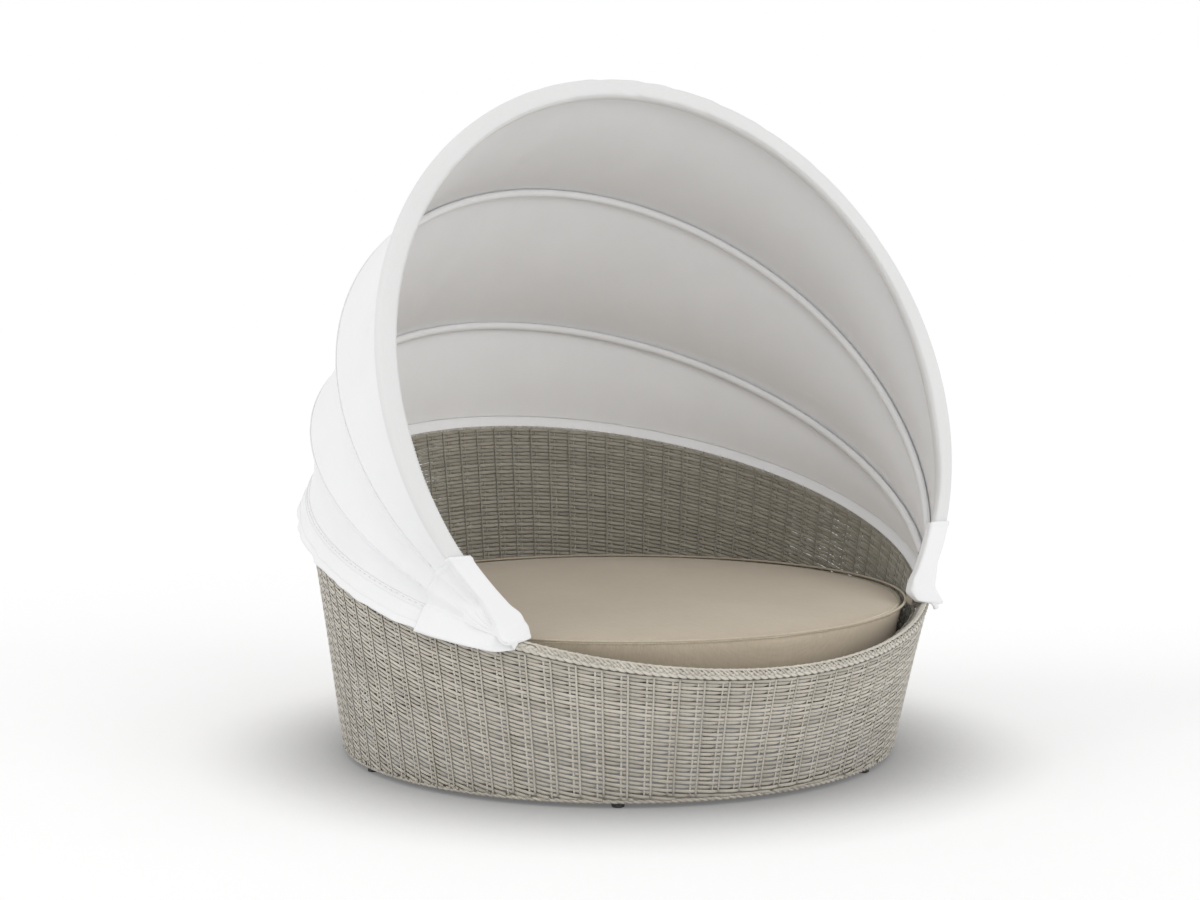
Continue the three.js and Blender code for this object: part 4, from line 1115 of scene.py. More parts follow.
def canopy_grid():
    lead = ridge_stand + ridge_lead
    rim = rim_edge(rim_peak_radius - 0.002, rim_peak_rise + 2 * cloth_thickness)
    rear = bow_edge(bows["rear"], lead, 0.0)
    mid = bow_edge(bows["mid"], lead, 0.0)
    front_turns = arc_turns(bows["front"], canopy_start_reach, canopy_columns)
    front_lift = -(sleeve_depth(reach_of(bows["front"], front_turns)) + cloth_thickness)
    front = beside_bow(bows["front"], front_turns, sleeve_half_width / 2, front_lift)
    rows = panel_rows("rear", rim, rear, panel_sags["rear"], panel_shares)
    rear_row = len(rows)
    rows += panel_rows("mid", rear, mid, panel_sags["mid"], panel_shares)
    mid_row = len(rows)
    last_shares = np.append(panel_shares, 1.0)
    rows += panel_rows("front", mid, front, panel_sags["front"], last_shares)
    grid = np.array(rows)
    for ridge in (rear_row, mid_row):
        for _ in range(2):
            eased = grid.copy()
            for row in (ridge - 1, ridge, ridge + 1):
                eased[row] = 0.25 * grid[row - 1] + 0.5 * grid[row] + 0.25 * grid[row + 1]
            grid = eased
    return grid, rear_row, mid_row


def fold_weights(points):
    """Share of the front bow's turn that each point takes, by its angle about the hinge line."""
    y = points[:, 1] - hinge_point[1]
    z = points[:, 2] - hinge_point[2]
    angle = np.degrees(np.arctan2(z, y))
    return np.interp(angle, fold_degrees, fold_shares)


def fold_with_canopy(piece, weights):
    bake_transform(piece, "basket", "front_bow", start=(0, 0, 0.6), end=(0, -0.2, 1.7))
    values = piece.data.attributes["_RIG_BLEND"].data
    values.foreach_set("value", weights.astype(np.float32))


def mesh_points(mesh):
    points = np.zeros(len(mesh.vertices) * 3)
    mesh.vertices.foreach_get("co", points)
    return points.reshape(-1, 3)


def build_canopy():
    grid, rear_row, mid_row = canopy_grid()
    cloth = sheet_piece("canopy_cloth", grid, cloth_thickness, canopy_cloth)
    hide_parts("canopy_front_panel", "canopy_mid_panel", "canopy_rear_panel")
    fold_with_canopy(cloth, fold_weights(mesh_points(cloth.data)))

    going = []
    normals = grid_normals(grid)
    for name, row, body in (("rear", rear_row, "rear_bow"), ("mid", mid_row, "mid_bow")):
        outward = unit(grid[row] - sag_centre)
        line = grid[row] + turned_out(normals[row], outward) * (cloth_thickness / 2 + 0.0014)
        past_pouch = np.linalg.norm((line - hinge_point)[:, 1:], axis=1) > pouch_reach + 0.004
        line, outward = line[past_pouch], outward[past_pouch]
        rings = tube_rings(line, outward, round_section(8) * 0.0019)
        piping = ring_piece(f"{name}_ridge_piping", rings, canopy_cloth)
        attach(piping, body)
        going.append(piping)

        bow = bows[name]
        count = 181
        place = np.linspace(0, 1, count)
        angles = (np.arange(16) + 0.5) * full_turn / 16
        gather = 1 + 0.020 * np.sin(place * full_turn * 37)[:, None] * np.sin(angles * 2)[None, :]
        reach = reach_of(bow, arc_turns(bow, bow["cloth_start"], count))[:, None]
        gather = gather * mix(welt_low_share, 1.0, ease((reach - 0.185) / 0.06))
        outer = np.stack([
            pocket_radius * np.cos(angles)[None, :] * gather - tube_settle,
            pocket_radius * np.sin(angles)[None, :] * gather,
        ], -1)
        lining = round_section(16) * (bow["tube"] + 0.0002) - np.array([tube_settle, 0.0])
        lining = np.broadcast_to(lining, (count, 16, 2))
        pocket = hollow_piece(
            f"{name}_bow_welt",
            bow_tube(bow, bow["cloth_start"], count, outer),
            bow_tube(bow, bow["cloth_start"], count, lining),
            canopy_cloth,
        )
        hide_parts(f"{name}_bow_pocket")
        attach(pocket, body)
        going.append(pocket)

    going += build_sleeve()
    return grid


def reach_of(bow, turns):
    return bow["centre"] + bow["rise"] * np.sin(turns)


def sleeve_inner_half(reach):
    return mix(0.0150, sleeve_half_width, ease((reach - 0.20) / 0.35))


def sleeve_depth(reach):
    return mix(0.0125, sleeve_half_depth, ease((reach - 0.185) / 0.12))


def build_sleeve():
    bow = bows["front"]
    count, corners = 301, 36
    place = np.linspace(0, 1, count)
    angles = (np.arange(corners) + 0.5) * full_turn / corners
    cosine, sine = np.cos(angles), np.sin(angles)
    reach = reach_of(bow, arc_turns(bow, bow["cloth_start"], count))[:, None]
    inner_half = sleeve_inner_half(reach)
    half = np.where(cosine[None, :] > 0, sleeve_half_width, inner_half)
    out = np.sign(cosine) * np.abs(cosine) ** 0.52
    lift = np.sign(sine) * np.abs(sine) ** 0.80
    section = np.stack([out * half, lift * sleeve_depth(reach)], -1)
    # Creases slant over the front face where the cloth is gathered round the top of the bow.
    crease = np.zeros((count, corners))
    creases = [
        (0.500, 0.060, 0.0022), (0.462, 0.052, 0.0018), (0.436, 0.060, 0.0024),
        (0.396, 0.050, 0.0020), (0.352, 0.060, 0.0015), (0.558, 0.050, 0.0012),
        (0.618, 0.060, 0.0010), (0.300, 0.060, 0.0012), (0.225, 0.060, 0.0009),
        (0.700, 0.070, 0.0008),
    ]
    for middle, slope, deep in creases:
        centre = middle + slope * out[None, :] * 0.28
        crease += deep * np.exp(-(((place[:, None] - centre) / 0.0050) ** 2))
        crease -= 0.5 * deep * np.exp(-(((place[:, None] - centre - 0.0105) / 0.0060) ** 2))
    front_face = ease((sine + 0.35) / 1.0)[None, :]
    soft = smooth_random(count, 12, 0.0004)[:, None]
    section = section - section / np.maximum(
        np.linalg.norm(section, axis=-1, keepdims=True), 1e-9,
    ) * (crease * front_face + soft)[..., None]
    hollow = round_section(corners) * (bow["tube"] + 0.0014)
    sleeve = hollow_piece(
        "front_sleeve",
        bow_tube(bow, bow["cloth_start"], count, section),
        bow_tube(bow, bow["cloth_start"], count, np.broadcast_to(hollow, section.shape)),
        shaded_sleeve_cloth,
    )
    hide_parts("front_bow_sleeve")
    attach(sleeve, "front_bow")

    stitches = Parts()
    turns = arc_turns(bow, bow["cloth_start"] + 0.004, count)
    reach = reach_of(bow, turns)
    seam_out, seam_lift = -sleeve_inner_half(reach) * 0.80, sleeve_depth(reach) * 0.80
    line = beside_bow(bow, turns, seam_out, seam_lift)
    outward = beside_bow(bow, turns, seam_out * 1.3, seam_lift * 1.6) - line
    stitch_parts(stitches, line + unit(outward) * 0.0012, outward)
    thread = stitches.piece("sleeve_stitching", thread_white, "white_cloth")
    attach(thread, "front_bow")

    seam_line = beside_bow(
        bow, turns, sleeve_half_width / 2, -(sleeve_depth(reach) + cloth_thickness * 0.2),
    )
    seam_up = unit(
        beside_bow(bow, turns, sleeve_half_width, 0.0) - beside_bow(bow, turns, 0.0, 0.0)
    )
    rings = tube_rings(seam_line, seam_up, round_section(8) * np.array([0.0022, 0.0030]))
    seam = ring_piece("sleeve_seam_welt", rings, canopy_cloth)
    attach(seam, "front_bow")
    return [sleeve, thread, seam]


canopy = build_canopy()

# Skirt, binding and pouches at the rim


def curve_through(points, steps):
    """A smooth curve through the points of each row, sampled evenly between them."""
    padded = np.concatenate([
        2 * points[..., :1, :] - points[..., 1:2, :], points,
        2 * points[..., -1:, :] - points[..., -2:-1, :],
    ], -2)
    spans = points.shape[-2] - 1
    samples = []
    for position in np.linspace(0, spans, steps):
        span = min(int(position), spans - 1)
        t = position - span
        a, b, c, d = (padded[..., span + offset, :] for offset in range(4))
        samples.append(0.5 * (
            2 * b + (c - a) * t + (2 * a - 5 * b + 4 * c - d) * t ** 2
            + (3 * b - a - 3 * c + d) * t ** 3
        ))
    return np.stack(samples, -2)


skirt_steps = 25
skirt_seam_column = 7
skirt_stitch_columns = (9, 19)
skirt_first = math.radians(59.5)
skirt_angles = np.linspace(skirt_first, full_turn - skirt_first, 421)


def rim_strip(path, ripple):
    """A grid along the rim from (radius, rise) pairs; ripple is added to the radius."""
    radius = path[None, :, 0] + ripple
    return rim_point(skirt_angles[:, None], radius, path[None, :, 1])


def build_skirt():
    stand = cloth_thickness / 2 + cloth_gap
    edge = rim_radius + stand + 0.0022
    seat = [[rim_peak_radius - 0.0055, -0.001], [rim_peak_radius + 0.0015, 0.0012]]
    hang = [[0.0, 0.12], [0.3, 0.42], [0.68, 0.7], [1.0, 1.0]]
    path = np.array(
        [[radius, rim_peak_rise + stand + rise] for radius, rise in seat]
        + [[edge + skirt_flare * out, -skirt_drop * down] for out, down in hang]
    )
    path = curve_through(path, skirt_steps)
    fall = np.clip((np.linspace(0, 1, skirt_steps) - 0.30) / 0.70, 0, 1)
    count = len(skirt_angles)
    place = skirt_angles[:, None]
    wave = (
        0.0021 * np.sin(place * 31 + 0.9) + 0.0017 * np.sin(place * 47 + 2.1)
        + 0.0012 * np.sin(place * 73 + 0.4) + smooth_random(count, 9, 0.0009)[:, None]
    )
    ripple = wave * (fall[None, :] ** 1.3)
    ripple = ripple - 0.0016 * np.exp(-(((fall[None, :] - 0.20) / 0.06) ** 2))
    grid = rim_strip(path, ripple)
    from_end = np.minimum(skirt_angles - skirt_first, skirt_angles[::-1] - skirt_first)
    shallow = 0.2 * (1 - ease(from_end / math.radians(14)))
    grid[..., 2] -= np.minimum(path[None, :, 1], 0) * shallow[:, None]
    hem = 1.0 + 0.55 * ease((fall - 0.70) / 0.05)
    thickness = np.broadcast_to(cloth_thickness * hem[None, :], grid.shape[:2])
    skirt = sheet_piece("canopy_skirt_cloth", grid, thickness, canopy_cloth)
    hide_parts("canopy_skirt")
    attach(skirt, "basket")

    normals = grid_normals(grid)
    outward = unit(grid[:, 15] - grid[:, 15] * np.array([0.9, 0.9, 1.0]))
    stitches = Parts()
    for column in skirt_stitch_columns:
        face = turned_out(normals[:, column], outward)
        half_cloth = thickness[:, column][:, None] / 2
        stitch_parts(stitches, grid[:, column] + face * (half_cloth + 0.0002), face)
    thread = stitches.piece("skirt_stitching", thread_white, "white_cloth")
    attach(thread, "basket")
    face = turned_out(normals[:, skirt_seam_column], outward)
    line = grid[:, skirt_seam_column] + face * (cloth_thickness / 2 + 0.0009)
    rings = tube_rings(line, face, round_section(8) * 0.0016)
    seam = ring_piece("skirt_seam_piping", rings, canopy_cloth)
    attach(seam, "basket")


tape_steps = 9


def build_binding():
    thick = cloth_thickness / 2
    # The tape lies on the inner slope of the border, a strip's thickness clear of it.
    path = np.array([[0.8625, 0.0034], [0.8550, -0.0052], [0.8482, -0.0118], [0.8440, -0.0168]])
    path = curve_through(path, tape_steps)
    ripple = smooth_random(len(skirt_angles), 7, 0.0002)[:, None] * np.ones((1, tape_steps))
    grid = rim_strip(path, ripple)
    hem = 1 + 0.5 * (np.abs(np.linspace(-1, 1, tape_steps)) > 0.7)
    thickness = np.broadcast_to(thick * hem[None, :], grid.shape[:2])
    binding = sheet_piece("rim_binding_tape", grid, thickness, canopy_cloth)
    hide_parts("rim_binding")
    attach(binding, "basket")


rim_along = np.array([0.0, math.cos(rim_tilt), math.sin(rim_tilt)])
rim_across = np.array([0.0, -math.sin(rim_tilt), math.cos(rim_tilt)])
rim_degrees = math.degrees(rim_tilt)
front_degrees = math.degrees(bows["front"]["lean"])
outer_tip_x = hinge_pin_x + 0.0465
inner_tip_x = hinge_pin_x - 0.0400
hem_places = [-pouch_tip, -0.012, 0.06, 0.12, pouch_reach]
hem_drops = [0.0160, 0.0335, 0.0425, 0.0485, 0.0545]
polar_shares = np.linspace(0, 1, 11)
pouch_steps = 85
pouch_rows = 58
nose_rings = 10
nose_reach = 0.012
tip_smoothing = 8
smoothed_rows = 30
fading_rows = 12


def bow_x_at(bow, reach):
    share = (max(reach, 0) - bow["centre"]) / bow["rise"]
    half = bow["half_width"] * math.sqrt(max(1 - share ** 2, 0))
    swing = float(ease((reach - eye_tail) / (swing_end - eye_tail)))
    return mix(bow["pin_x"], half, swing)


def canopy_polar():
    """Distance and angle about the hinge line, and x, of the right half of the canopy cloth."""
    half = canopy[:, :canopy_columns // 4]
    y = half[..., 1] - hinge_point[1]
    z = half[..., 2] - hinge_point[2]
    return np.hypot(y, z), np.degrees(np.arctan2(z, y)), half[..., 0]


def canopy_ring(polar, distance):
    """Angles and x of the cloth at one distance from the hinge line, from the rim to the front."""
    distances, degrees, x = polar
    rows = range(len(distances))
    ring_degrees = np.array([np.interp(distance, distances[row], degrees[row]) for row in rows])
    ring_x = np.array([np.interp(distance, distances[row], x[row]) for row in rows])
    order = np.argsort(ring_degrees)
    return ring_degrees[order], ring_x[order]


def pouch_row(polar, s):
    """Points across the pouch, from the outer hem over the canopy and the bow to the inner edge.

    s is the distance from the hinge line, and negative ahead of it, where the tip lies on the rim.
    """
    bow = bows["front"]
    bow_x = bow_x_at(bow, max(s, swing_end))
    drop = float(np.interp(s, hem_places, hem_drops))
    u = s * 1.5 if s < 0 else s
    past_tip = float(ease(s / 0.07))
    over_cloth = float(ease(s / 0.085))

    def on_tip(x, along, lift):
        return hinge_point + np.array([x, 0, 0]) + rim_along * along + rim_across * lift

    def on_rim(share, stand):
        y = hinge_point[1] + u * rim_along[1]
        stand = mix(0.0115, stand, past_tip)
        radius = rim_radius + 0.0225 * drop * share / skirt_drop + stand
        return np.array([
            math.sqrt(radius ** 2 - y ** 2), y, rim_plane_at(y) - drop * share,
        ])

    face = float(sleeve_depth(s)) + 0.0052
    front_x = np.array([
        bow_x + 0.0312, bow_x + 0.0316, bow_x + 0.0296, bow_x + 0.010,
        bow_x - 0.014, bow_x - 0.0272, bow_x - 0.0290, bow_x - 0.0285,
    ])
    tip_x = np.array([
        outer_tip_x, outer_tip_x - 0.001, outer_tip_x - 0.006, hinge_pin_x + 0.012,
        hinge_pin_x - 0.016, inner_tip_x + 0.004, inner_tip_x, inner_tip_x,
    ])
    lifts = np.array([
        -0.004, 0.008, face * 0.92, face + 0.0012, face + 0.0008, face * 0.86, 0.004, -0.010,
    ])
    across = mix(tip_x, front_x, float(np.clip(s / swing_end, 0, 1)))
    crank_x = bow_x_at(bow, s) - 0.0105
    across[5:] = np.minimum(across[5:], crank_x)
    across[4] = min(across[4], crank_x + 0.006)
    front = in_bow_plane(bow, across, np.array(max(s, 0)), lifts)
    if s < 0:
        ahead = np.array([-0.038, -0.042, -0.046, -0.049, -0.047, -0.042, -0.036, -0.030])
        low = np.array([-0.014, -0.011, -0.008, -0.006, -0.007, -0.009, -0.012, -0.0165])
        nose_x = tip_x + np.array([0, 0, 0, 0, 0.001, 0.004, 0.007, 0.008])
        nose = np.array([on_tip(x, along, lift) for x, along, lift in zip(nose_x, ahead, low)])
        front = mix(front, nose, float(-s / pouch_tip) ** 1.5)

    rim = [on_rim(1.0, 0.0095), on_rim(0.5, 0.0085), on_rim(-0.05, 0.0072)]
    wall_x = mix(rim[2][0], front[0][0], polar_shares * 0.9)
    fan = mix(rim[2], front[0], 0.06 + 0.86 * polar_shares[:, None])
    fan[:, 0] = np.maximum(wall_x, outer_tip_x)
    ring_degrees, ring_x = canopy_ring(polar, max(s, 0.02))
    angle = mix(ring_degrees[0] + 1.5, front_degrees - 4.5, polar_shares)
    turned = np.radians(angle)
    cloth = np.stack([
        np.interp(angle, ring_degrees, ring_x) + pouch_stand,
        hinge_point[1] + max(s, 0) * np.cos(turned),
        hinge_point[2] + max(s, 0) * np.sin(turned),
    ], -1)
    return np.concatenate([rim, mix(fan, cloth, over_cloth), front])


def pouch_turn():
    """Share of the front bow's turn that each column of the pouch takes."""
    low, high = rim_degrees, front_degrees
    angles = mix(low, high, polar_shares)
    over = np.interp(angles, [low, *fold_degrees[1:3], high], fold_shares)
    stations = np.concatenate([[0, 0, 0], over, np.ones(8)])
    return np.interp(np.linspace(0, len(stations) - 1, pouch_steps), np.arange(len(stations)),
                     stations)


def build_pouch(side_name, side):
    polar = canopy_polar()
    places = np.linspace(-pouch_tip, pouch_reach, pouch_rows)
    grid = curve_through(np.array([pouch_row(polar, u) for u in places]), pouch_steps)
    # The tip closes in a blunt nose on the rim.
    middle = grid[0].mean(0) - rim_across * 0.004
    nose = [
        middle + (grid[0] - middle) * math.sqrt(1 - step ** 3) - rim_along * nose_reach * step
        for step in np.linspace(0.999, 0, nose_rings + 1)[:-1]
    ]
    grid = np.concatenate([np.array(nose), grid])
    # The cloth runs smoothly into the tip.
    for _ in range(tip_smoothing):
        between = 0.25 * grid[:-2] + 0.5 * grid[1:-1] + 0.25 * grid[2:]
        kept = ease((np.arange(1, len(grid) - 1) - smoothed_rows) / fading_rows)[:, None, None]
        grid[1:-1] = mix(between, grid[1:-1], kept)
    rows_count, columns = grid.shape[:2]
    # Gathers run up from the hem near the tip, and soft folds run to the hinge.
    column = np.linspace(0, 1, columns)[None, :]
    row = np.linspace(0, 1, rows_count)[:, None]
    gather = (
        0.0016 * np.sin(row * 74) * np.exp(-((row - 0.27) / 0.12) ** 2)
        * np.clip(1 - column / 0.22, 0, 1)
    )
    slack = 0.0022 * np.exp(-(((column - 0.27 - 0.05 * row) / 0.030) ** 2)) * arch(row)
    slack = slack + 0.0018 * np.exp(-(((column - 0.46 + 0.04 * row) / 0.030) ** 2)) * arch(row)
    back_seam = 0.0016 * np.exp(-(((row - 0.975) / 0.012) ** 2)) + 0 * column
    normals = grid_normals(grid)
    outward = unit(grid - (hinge_point + np.array([hinge_pin_x - 0.03, 0.1, 0.05])))
    facing = np.sign((normals * outward).sum(-1).mean())
    grid = grid + normals * facing * (gather - slack + back_seam)[..., None]
    nose_rows = len(nose)
    past_nose = np.clip((np.arange(rows_count) - nose_rows) / (rows_count - nose_rows - 1), 0, 1)
    past_nose = past_nose * (pouch_tip + pouch_reach) / pouch_tip
    turn_share = pouch_turn()[None, :] * ease(past_nose)[:, None]
    grid = grid * np.array([side, 1, 1])
    if side < 0:
        grid = grid[:, ::-1]
        turn_share = turn_share[:, ::-1]
    hem = 1 + 0.7 * (row > 0.95) + np.zeros_like(column)
    edge_band = np.minimum(column, 1 - column)
    hem = hem + 0.5 * (edge_band < 0.03)
    pouch = sheet_piece(
        f"pouch_{side_name}", grid, cloth_thickness * hem, canopy_cloth,
    )
    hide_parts(f"pivot_pouch_{side_name}")
    both_faces = np.concatenate([turn_share, turn_share[:, ::-1]], 1)
    fold_with_canopy(pouch, both_faces.ravel())


build_skirt()
build_binding()
for side_name, side in (("left", -1), ("right", 1)):
    build_pouch(side_name, side)

# Cushion: a boxed pad swollen by a short cloth simulation, then its piping, stitching and zip

cushion_centre = np.array([0.0, -cushion_forward, 0.0])
rise_shares = [0, 0.3, 0.6, 0.85, 1]
crown_shares = [1, 0.93, 0.8, 0.6, 0.35, 0]
pad_voxel = 0.013
pad_segments = 96
swell_steps = 20
swell_limit = 0.007


def cushion_outline(depth, low):
    high = cushion_seam_height - piping_radius
    side = [
        [mix(cushion_foot_radius, cushion_radius, share) - cushion_draw_in * arch(share) - depth,
         mix(low, high, share)]
        for share in rise_shares
    ]
    edge = cushion_radius - depth
    crown = [
        [edge * share, high - depth + cushion_crown * (1 - share ** 3) + piping_radius]
        for share in crown_shares[1:]
    ]
    return np.array(side + crown)


def turned_rings(outline, segments):
    angles = np.arange(segments) * full_turn / segments
    return around(angles[:, None], outline[None, :, 0], outline[None, :, 1]) + cushion_centre


def pad_piece(name, outline, low, segments, material):
    """A closed round pad with a middle point at the top and bottom."""
    outline = np.asarray(outline)
    inner = outline[:-1]
    rings = turned_rings(inner, segments)
    count = len(inner)
    quads = []
    for segment in range(segments):
        after = (segment + 1) % segments
        for step in range(count - 1):
            quads.append([
                segment * count + step, after * count + step,
                after * count + step + 1, segment * count + step + 1,
            ])
    points = rings.reshape(-1, 3)
    top = np.array([[0, -cushion_forward, outline[-1, 1]]])
    base = np.array([[0, -cushion_forward, low]])
    points = np.concatenate([points, top, base])
    top_index, base_index = len(points) - 2, len(points) - 1
    ends = []
    for segment in range(segments):
        after = (segment + 1) % segments
        ends.append([segment * count + count - 1, after * count + count - 1, top_index])
        ends.append([after * count, segment * count, base_index])
    return make_piece(name, points, quads, material, ends=ends)


def evaluated_mesh(piece):
    graph = bpy.context.evaluated_depsgraph_get()
    return bpy.data.meshes.new_from_object(piece.evaluated_get(graph))


def swell_pad(piece, cap):
    """Voxel remesh and a pressure simulation with a limit on each point's travel."""
    remesh = piece.modifiers.new("remesh", "REMESH")
    remesh.mode = "VOXEL"
    remesh.voxel_size = pad_voxel
    remesh.use_smooth_shade = True
    mesh = evaluated_mesh(piece)
    piece.modifiers.clear()
    piece.data = mesh
    rest = mesh_points(piece.data)
    seam = np.hypot(rest[:, 0], rest[:, 1] + cushion_forward)
    held = (rest[:, 2] < cushion_bottom + 0.006) | (
        (np.abs(rest[:, 2] - cushion_seam_height) < 0.009) & (seam > cushion_radius - 0.012)
    )
    group = piece.vertex_groups.new(name="held")
    group.add(np.flatnonzero(held).tolist(), 1.0, "REPLACE")
    cloth = piece.modifiers.new("swell", "CLOTH")
    settings = cloth.settings
    settings.quality = 4
    settings.mass = 0.3
    settings.tension_stiffness = 18
    settings.compression_stiffness = 12
    settings.bending_stiffness = 0.6
    settings.use_pressure = True
    settings.uniform_pressure_force = 4
    settings.vertex_group_mass = "held"
    settings.effector_weights.gravity = 0
    cloth.collision_settings.use_collision = False
    scene = bpy.context.scene
    for step in range(1, swell_steps + 1):
        scene.frame_set(step)
    travel = mesh_points(evaluated_mesh(piece)) - rest
    size = np.linalg.norm(travel, axis=1, keepdims=True)
    travel = travel * (cap * np.tanh(size / cap) / np.maximum(size, 1e-9))
    piece.modifiers.clear()
    scene.frame_set(1)
    points = rest + travel
    points[:, 2] = np.maximum(points[:, 2], cushion_bottom + cover_thickness + 0.0004)
    piece.data.vertices.foreach_set("co", points.ravel())
    piece.vertex_groups.clear()
    piece.data.update()


def subdivide(piece):
    smooth = piece.modifiers.new("smooth", "SUBSURF")
    smooth.levels = 1
    smooth.render_levels = 1
    mesh = evaluated_mesh(piece)
    piece.modifiers.clear()
    piece.data = mesh
    piece.data.shade_smooth()


def build_cushion():
    base_top = cushion_bottom + cover_thickness
    low = base_top + 0.0003
    cover = pad_piece(
        "cushion_pad", cushion_outline(0.0035, low), low, pad_segments, cushion_cloth,
    )
    swell_pad(cover, swell_limit)
    subdivide(cover)
    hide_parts("cushion_cover")
    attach(cover, "cushion")

    core = pad_piece(
        "cushion_core", cushion_outline(0.012, low + 0.004), low + 0.004, pad_segments, foam,
    )
    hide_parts("cushion_foam")
    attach(core, "cushion")

    under = np.array([
        [0.02, cushion_bottom], [cushion_foot_radius - 0.002, cushion_bottom],
        [cushion_foot_radius, base_top - 0.0008], [cushion_foot_radius - 0.001, base_top],
        [0.02, base_top], [0.0, base_top],
    ])
    base = pad_piece("cushion_underside", under, cushion_bottom, 120, cushion_cloth)
    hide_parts("cushion_base_cloth")
    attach(base, "cushion")

    seat = piping_radius + 0.0003
    radius = cushion_radius + seat * math.sin(piping_lean)
    height = cushion_seam_height - piping_radius + seat * math.cos(piping_lean)
    count = 360
    angles = np.arange(count) * full_turn / count
    line = around(angles, radius, height) + cushion_centre
    rings = tube_rings(line, upright, round_section(10) * piping_radius, True)
    piping = ring_piece("cushion_edge_piping", rings, cushion_cloth, True)
    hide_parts("cushion_piping")
    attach(piping, "cushion")

    stitches = Parts()
    side_radius = radius - 0.0052
    line = around(angles, side_radius, height - 0.0085)
    line = np.concatenate([line, line[:1]]) + cushion_centre
    outward = unit((line - cushion_centre) * np.array([1, 1, 0]))
    stitch_parts(stitches, line, outward)
    thread = stitches.piece("cushion_stitching", thread_taupe, "taupe_cloth")
    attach(thread, "cushion")
    build_zip()


def build_zip():
    """Two tapes, a run of coil teeth and a slider on the back of the cushion."""
    outline = cushion_outline(0.0, cushion_bottom + cover_thickness + 0.0003)

    def face_radius(height):
        return np.interp(height, outline[:5, 1], outline[:5, 0])

    count = 181
    angles = np.linspace(math.pi - zip_half_angle, math.pi + zip_half_angle, count)
    rises = np.array([-0.5, -0.46, -0.13, -0.10, 0.10, 0.13, 0.46, 0.5]) * zip_width
    proud = np.array([0.0011, 0.0015, 0.0015, 0.0009, 0.0009, 0.0015, 0.0015, 0.0011])
    heights = zip_middle + rises
    radii = face_radius(heights) + proud
    grid = around(angles[:, None], radii[None, :], heights[None, :]) + cushion_centre
    tape = sheet_piece("cushion_zip_tape", grid, 0.0007, cushion_cloth)
    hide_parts("cushion_zip")
    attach(tape, "cushion")
    teeth = Parts()
    tooth_count = 340
    radius = float(face_radius(zip_middle)) + 0.0018
    for index in range(tooth_count):
        angle = mix(angles[0] + 0.01, angles[-1] - 0.01, index / (tooth_count - 1))
        lean = 0.0006 if index % 2 else -0.0006
        ends = np.array([[-0.0016 + lean, 0.0], [0.0, 0.0006], [0.0016 + lean, 0.0]])
        path = around(angle, radius + ends[:, 1], zip_middle + ends[:, 0]) + cushion_centre
        teeth.add(tube_rings(path, around(angle, 1.0, 0.0), round_section(5) * 0.0008), False)
    row = teeth.piece("cushion_zip_teeth", plastic, "dark_plastic")
    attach(row, "cushion")
    slider = Parts()
    angle = angles[6]
    for stations, widths, proud, half_thickness, corners in (
        ([-0.0070, -0.0050, 0.0, 0.0050, 0.0070], [0.0022, 0.0038, 0.0042, 0.0034, 0.0020],
         0.0016, 0.0013, 10),
        ([0.0040, 0.0060, 0.0140, 0.0240, 0.0262], [0.0012, 0.0018, 0.0022, 0.0026, 0.0014],
         0.0038, 0.0007, 8),
    ):
        turned = angle + np.array(stations) / radius
        path = around(turned, radius + proud, zip_middle) + cushion_centre
        halves = np.stack([widths, np.full(len(widths), half_thickness)], -1)
        section = round_section(corners)[None] * halves[:, None]
        slider.add(tube_rings(path, around(angle, 1.0, 0.0), section), False)
    pull = slider.piece("cushion_zip_slider", steel, "bare_steel")
    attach(pull, "cushion")


build_cushion()

# Floor, light and camera


floor_seen_glow = 0.13
world_strength = 0.80
# Name, direction from the object, strength and width in degrees of each lamp
lamps = (
    ("key", (-0.95, 0.22, 0.45), 0.57, 40.0),
    ("fill", (0.25, -0.95, 0.30), 0.72, 60.0),
)
camera_place = (-3.026, -5.242, 1.346)
camera_look = (0.4908, 0.8672, -0.0844)
camera_lens = 64.5


def seen_directly(tree):
    """One for what the camera sees itself or in metal or glass, and nothing for other light."""
    rays = add_node(tree, "ShaderNodeLightPath")
    shown = math_node(
        tree, "MAXIMUM", rays.outputs["Is Camera Ray"], rays.outputs["Is Glossy Ray"],
    )
    return math_node(tree, "MAXIMUM", shown, rays.outputs["Is Transmission Ray"])


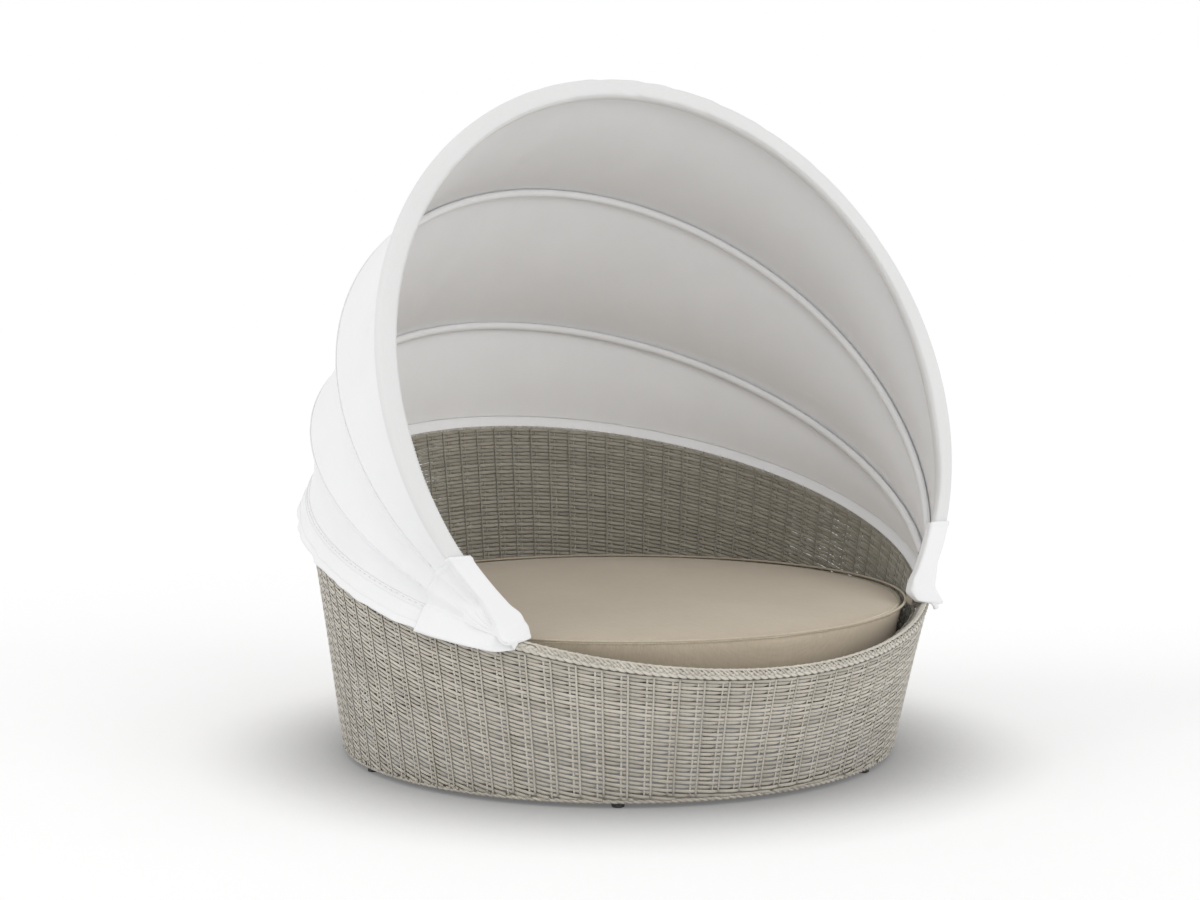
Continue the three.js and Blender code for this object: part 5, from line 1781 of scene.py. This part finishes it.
def build_stage():
    mesh = bpy.data.meshes.new("floor")
    half = 40.0
    mesh.from_pydata(
        [(-half, -half, 0), (half, -half, 0), (half, half, 0), (-half, half, 0)], [],
        [(0, 1, 2, 3)],
    )
    floor = bpy.data.objects.new("floor", mesh)
    bpy.context.scene.collection.objects.link(floor)
    material, tree, shader = fresh_material("floor_white")
    shader.inputs["Roughness"].default_value = 0.9
    shader.inputs["Specular IOR Level"].default_value = 0.0
    # Painted contact shadow darkens the floor a little close to the object; its white is for seeing only.
    painted_contact_shadow = add_node(tree, "ShaderNodeAmbientOcclusion", samples=8)
    painted_contact_shadow.inputs["Distance"].default_value = 0.45
    tone = remap(tree, painted_contact_shadow.outputs["AO"], 0.45, 0.97, 0.34, 0.93)
    tree.links.new(grey_color(tree, tone), shader.inputs["Base Color"])
    seen = seen_directly(tree)
    tree.links.new(
        math_node(tree, "MULTIPLY", seen, floor_seen_glow), shader.inputs["Emission Strength"],
    )
    shader.inputs["Emission Color"].default_value = (1.0, 1.0, 1.0, 1)
    mesh.materials.append(material)

    world = bpy.data.worlds.new("studio")
    bpy.context.scene.world = world
    world.use_nodes = True
    tree = world.node_tree
    tree.nodes.clear()
    output = add_node(tree, "ShaderNodeOutputWorld")
    light = add_node(tree, "ShaderNodeBackground")
    light.inputs["Color"].default_value = (1.0, 1.0, 1.0, 1)
    light.inputs["Strength"].default_value = world_strength
    seen = add_node(tree, "ShaderNodeBackground")
    seen.inputs["Color"].default_value = (1.0, 1.0, 1.0, 1)
    seen.inputs["Strength"].default_value = 1.0
    shown = seen_directly(tree)
    blend = add_node(tree, "ShaderNodeMixShader")
    tree.links.new(shown, blend.inputs[0])
    tree.links.new(light.outputs[0], blend.inputs[1])
    tree.links.new(seen.outputs[0], blend.inputs[2])
    tree.links.new(blend.outputs[0], output.inputs[0])

    for name, direction, strength, size in lamps:
        lamp = bpy.data.lights.new(name, "SUN")
        lamp.energy = strength
        lamp.angle = math.radians(size)
        holder = bpy.data.objects.new(name, lamp)
        bpy.context.scene.collection.objects.link(holder)
        holder.rotation_euler = Vector(direction).to_track_quat("Z", "Y").to_euler()

    camera = bpy.data.cameras.new("camera")
    camera.lens = camera_lens
    camera.sensor_width = 36.0
    camera.sensor_fit = "HORIZONTAL"
    camera.clip_end = 200.0
    holder = bpy.data.objects.new("camera", camera)
    bpy.context.scene.collection.objects.link(holder)
    holder.location = camera_place
    holder.rotation_euler = Vector(camera_look).to_track_quat("-Z", "Y").to_euler()
    bpy.context.scene.camera = holder
    bpy.context.scene.view_settings.view_transform = "Standard"


build_stage()
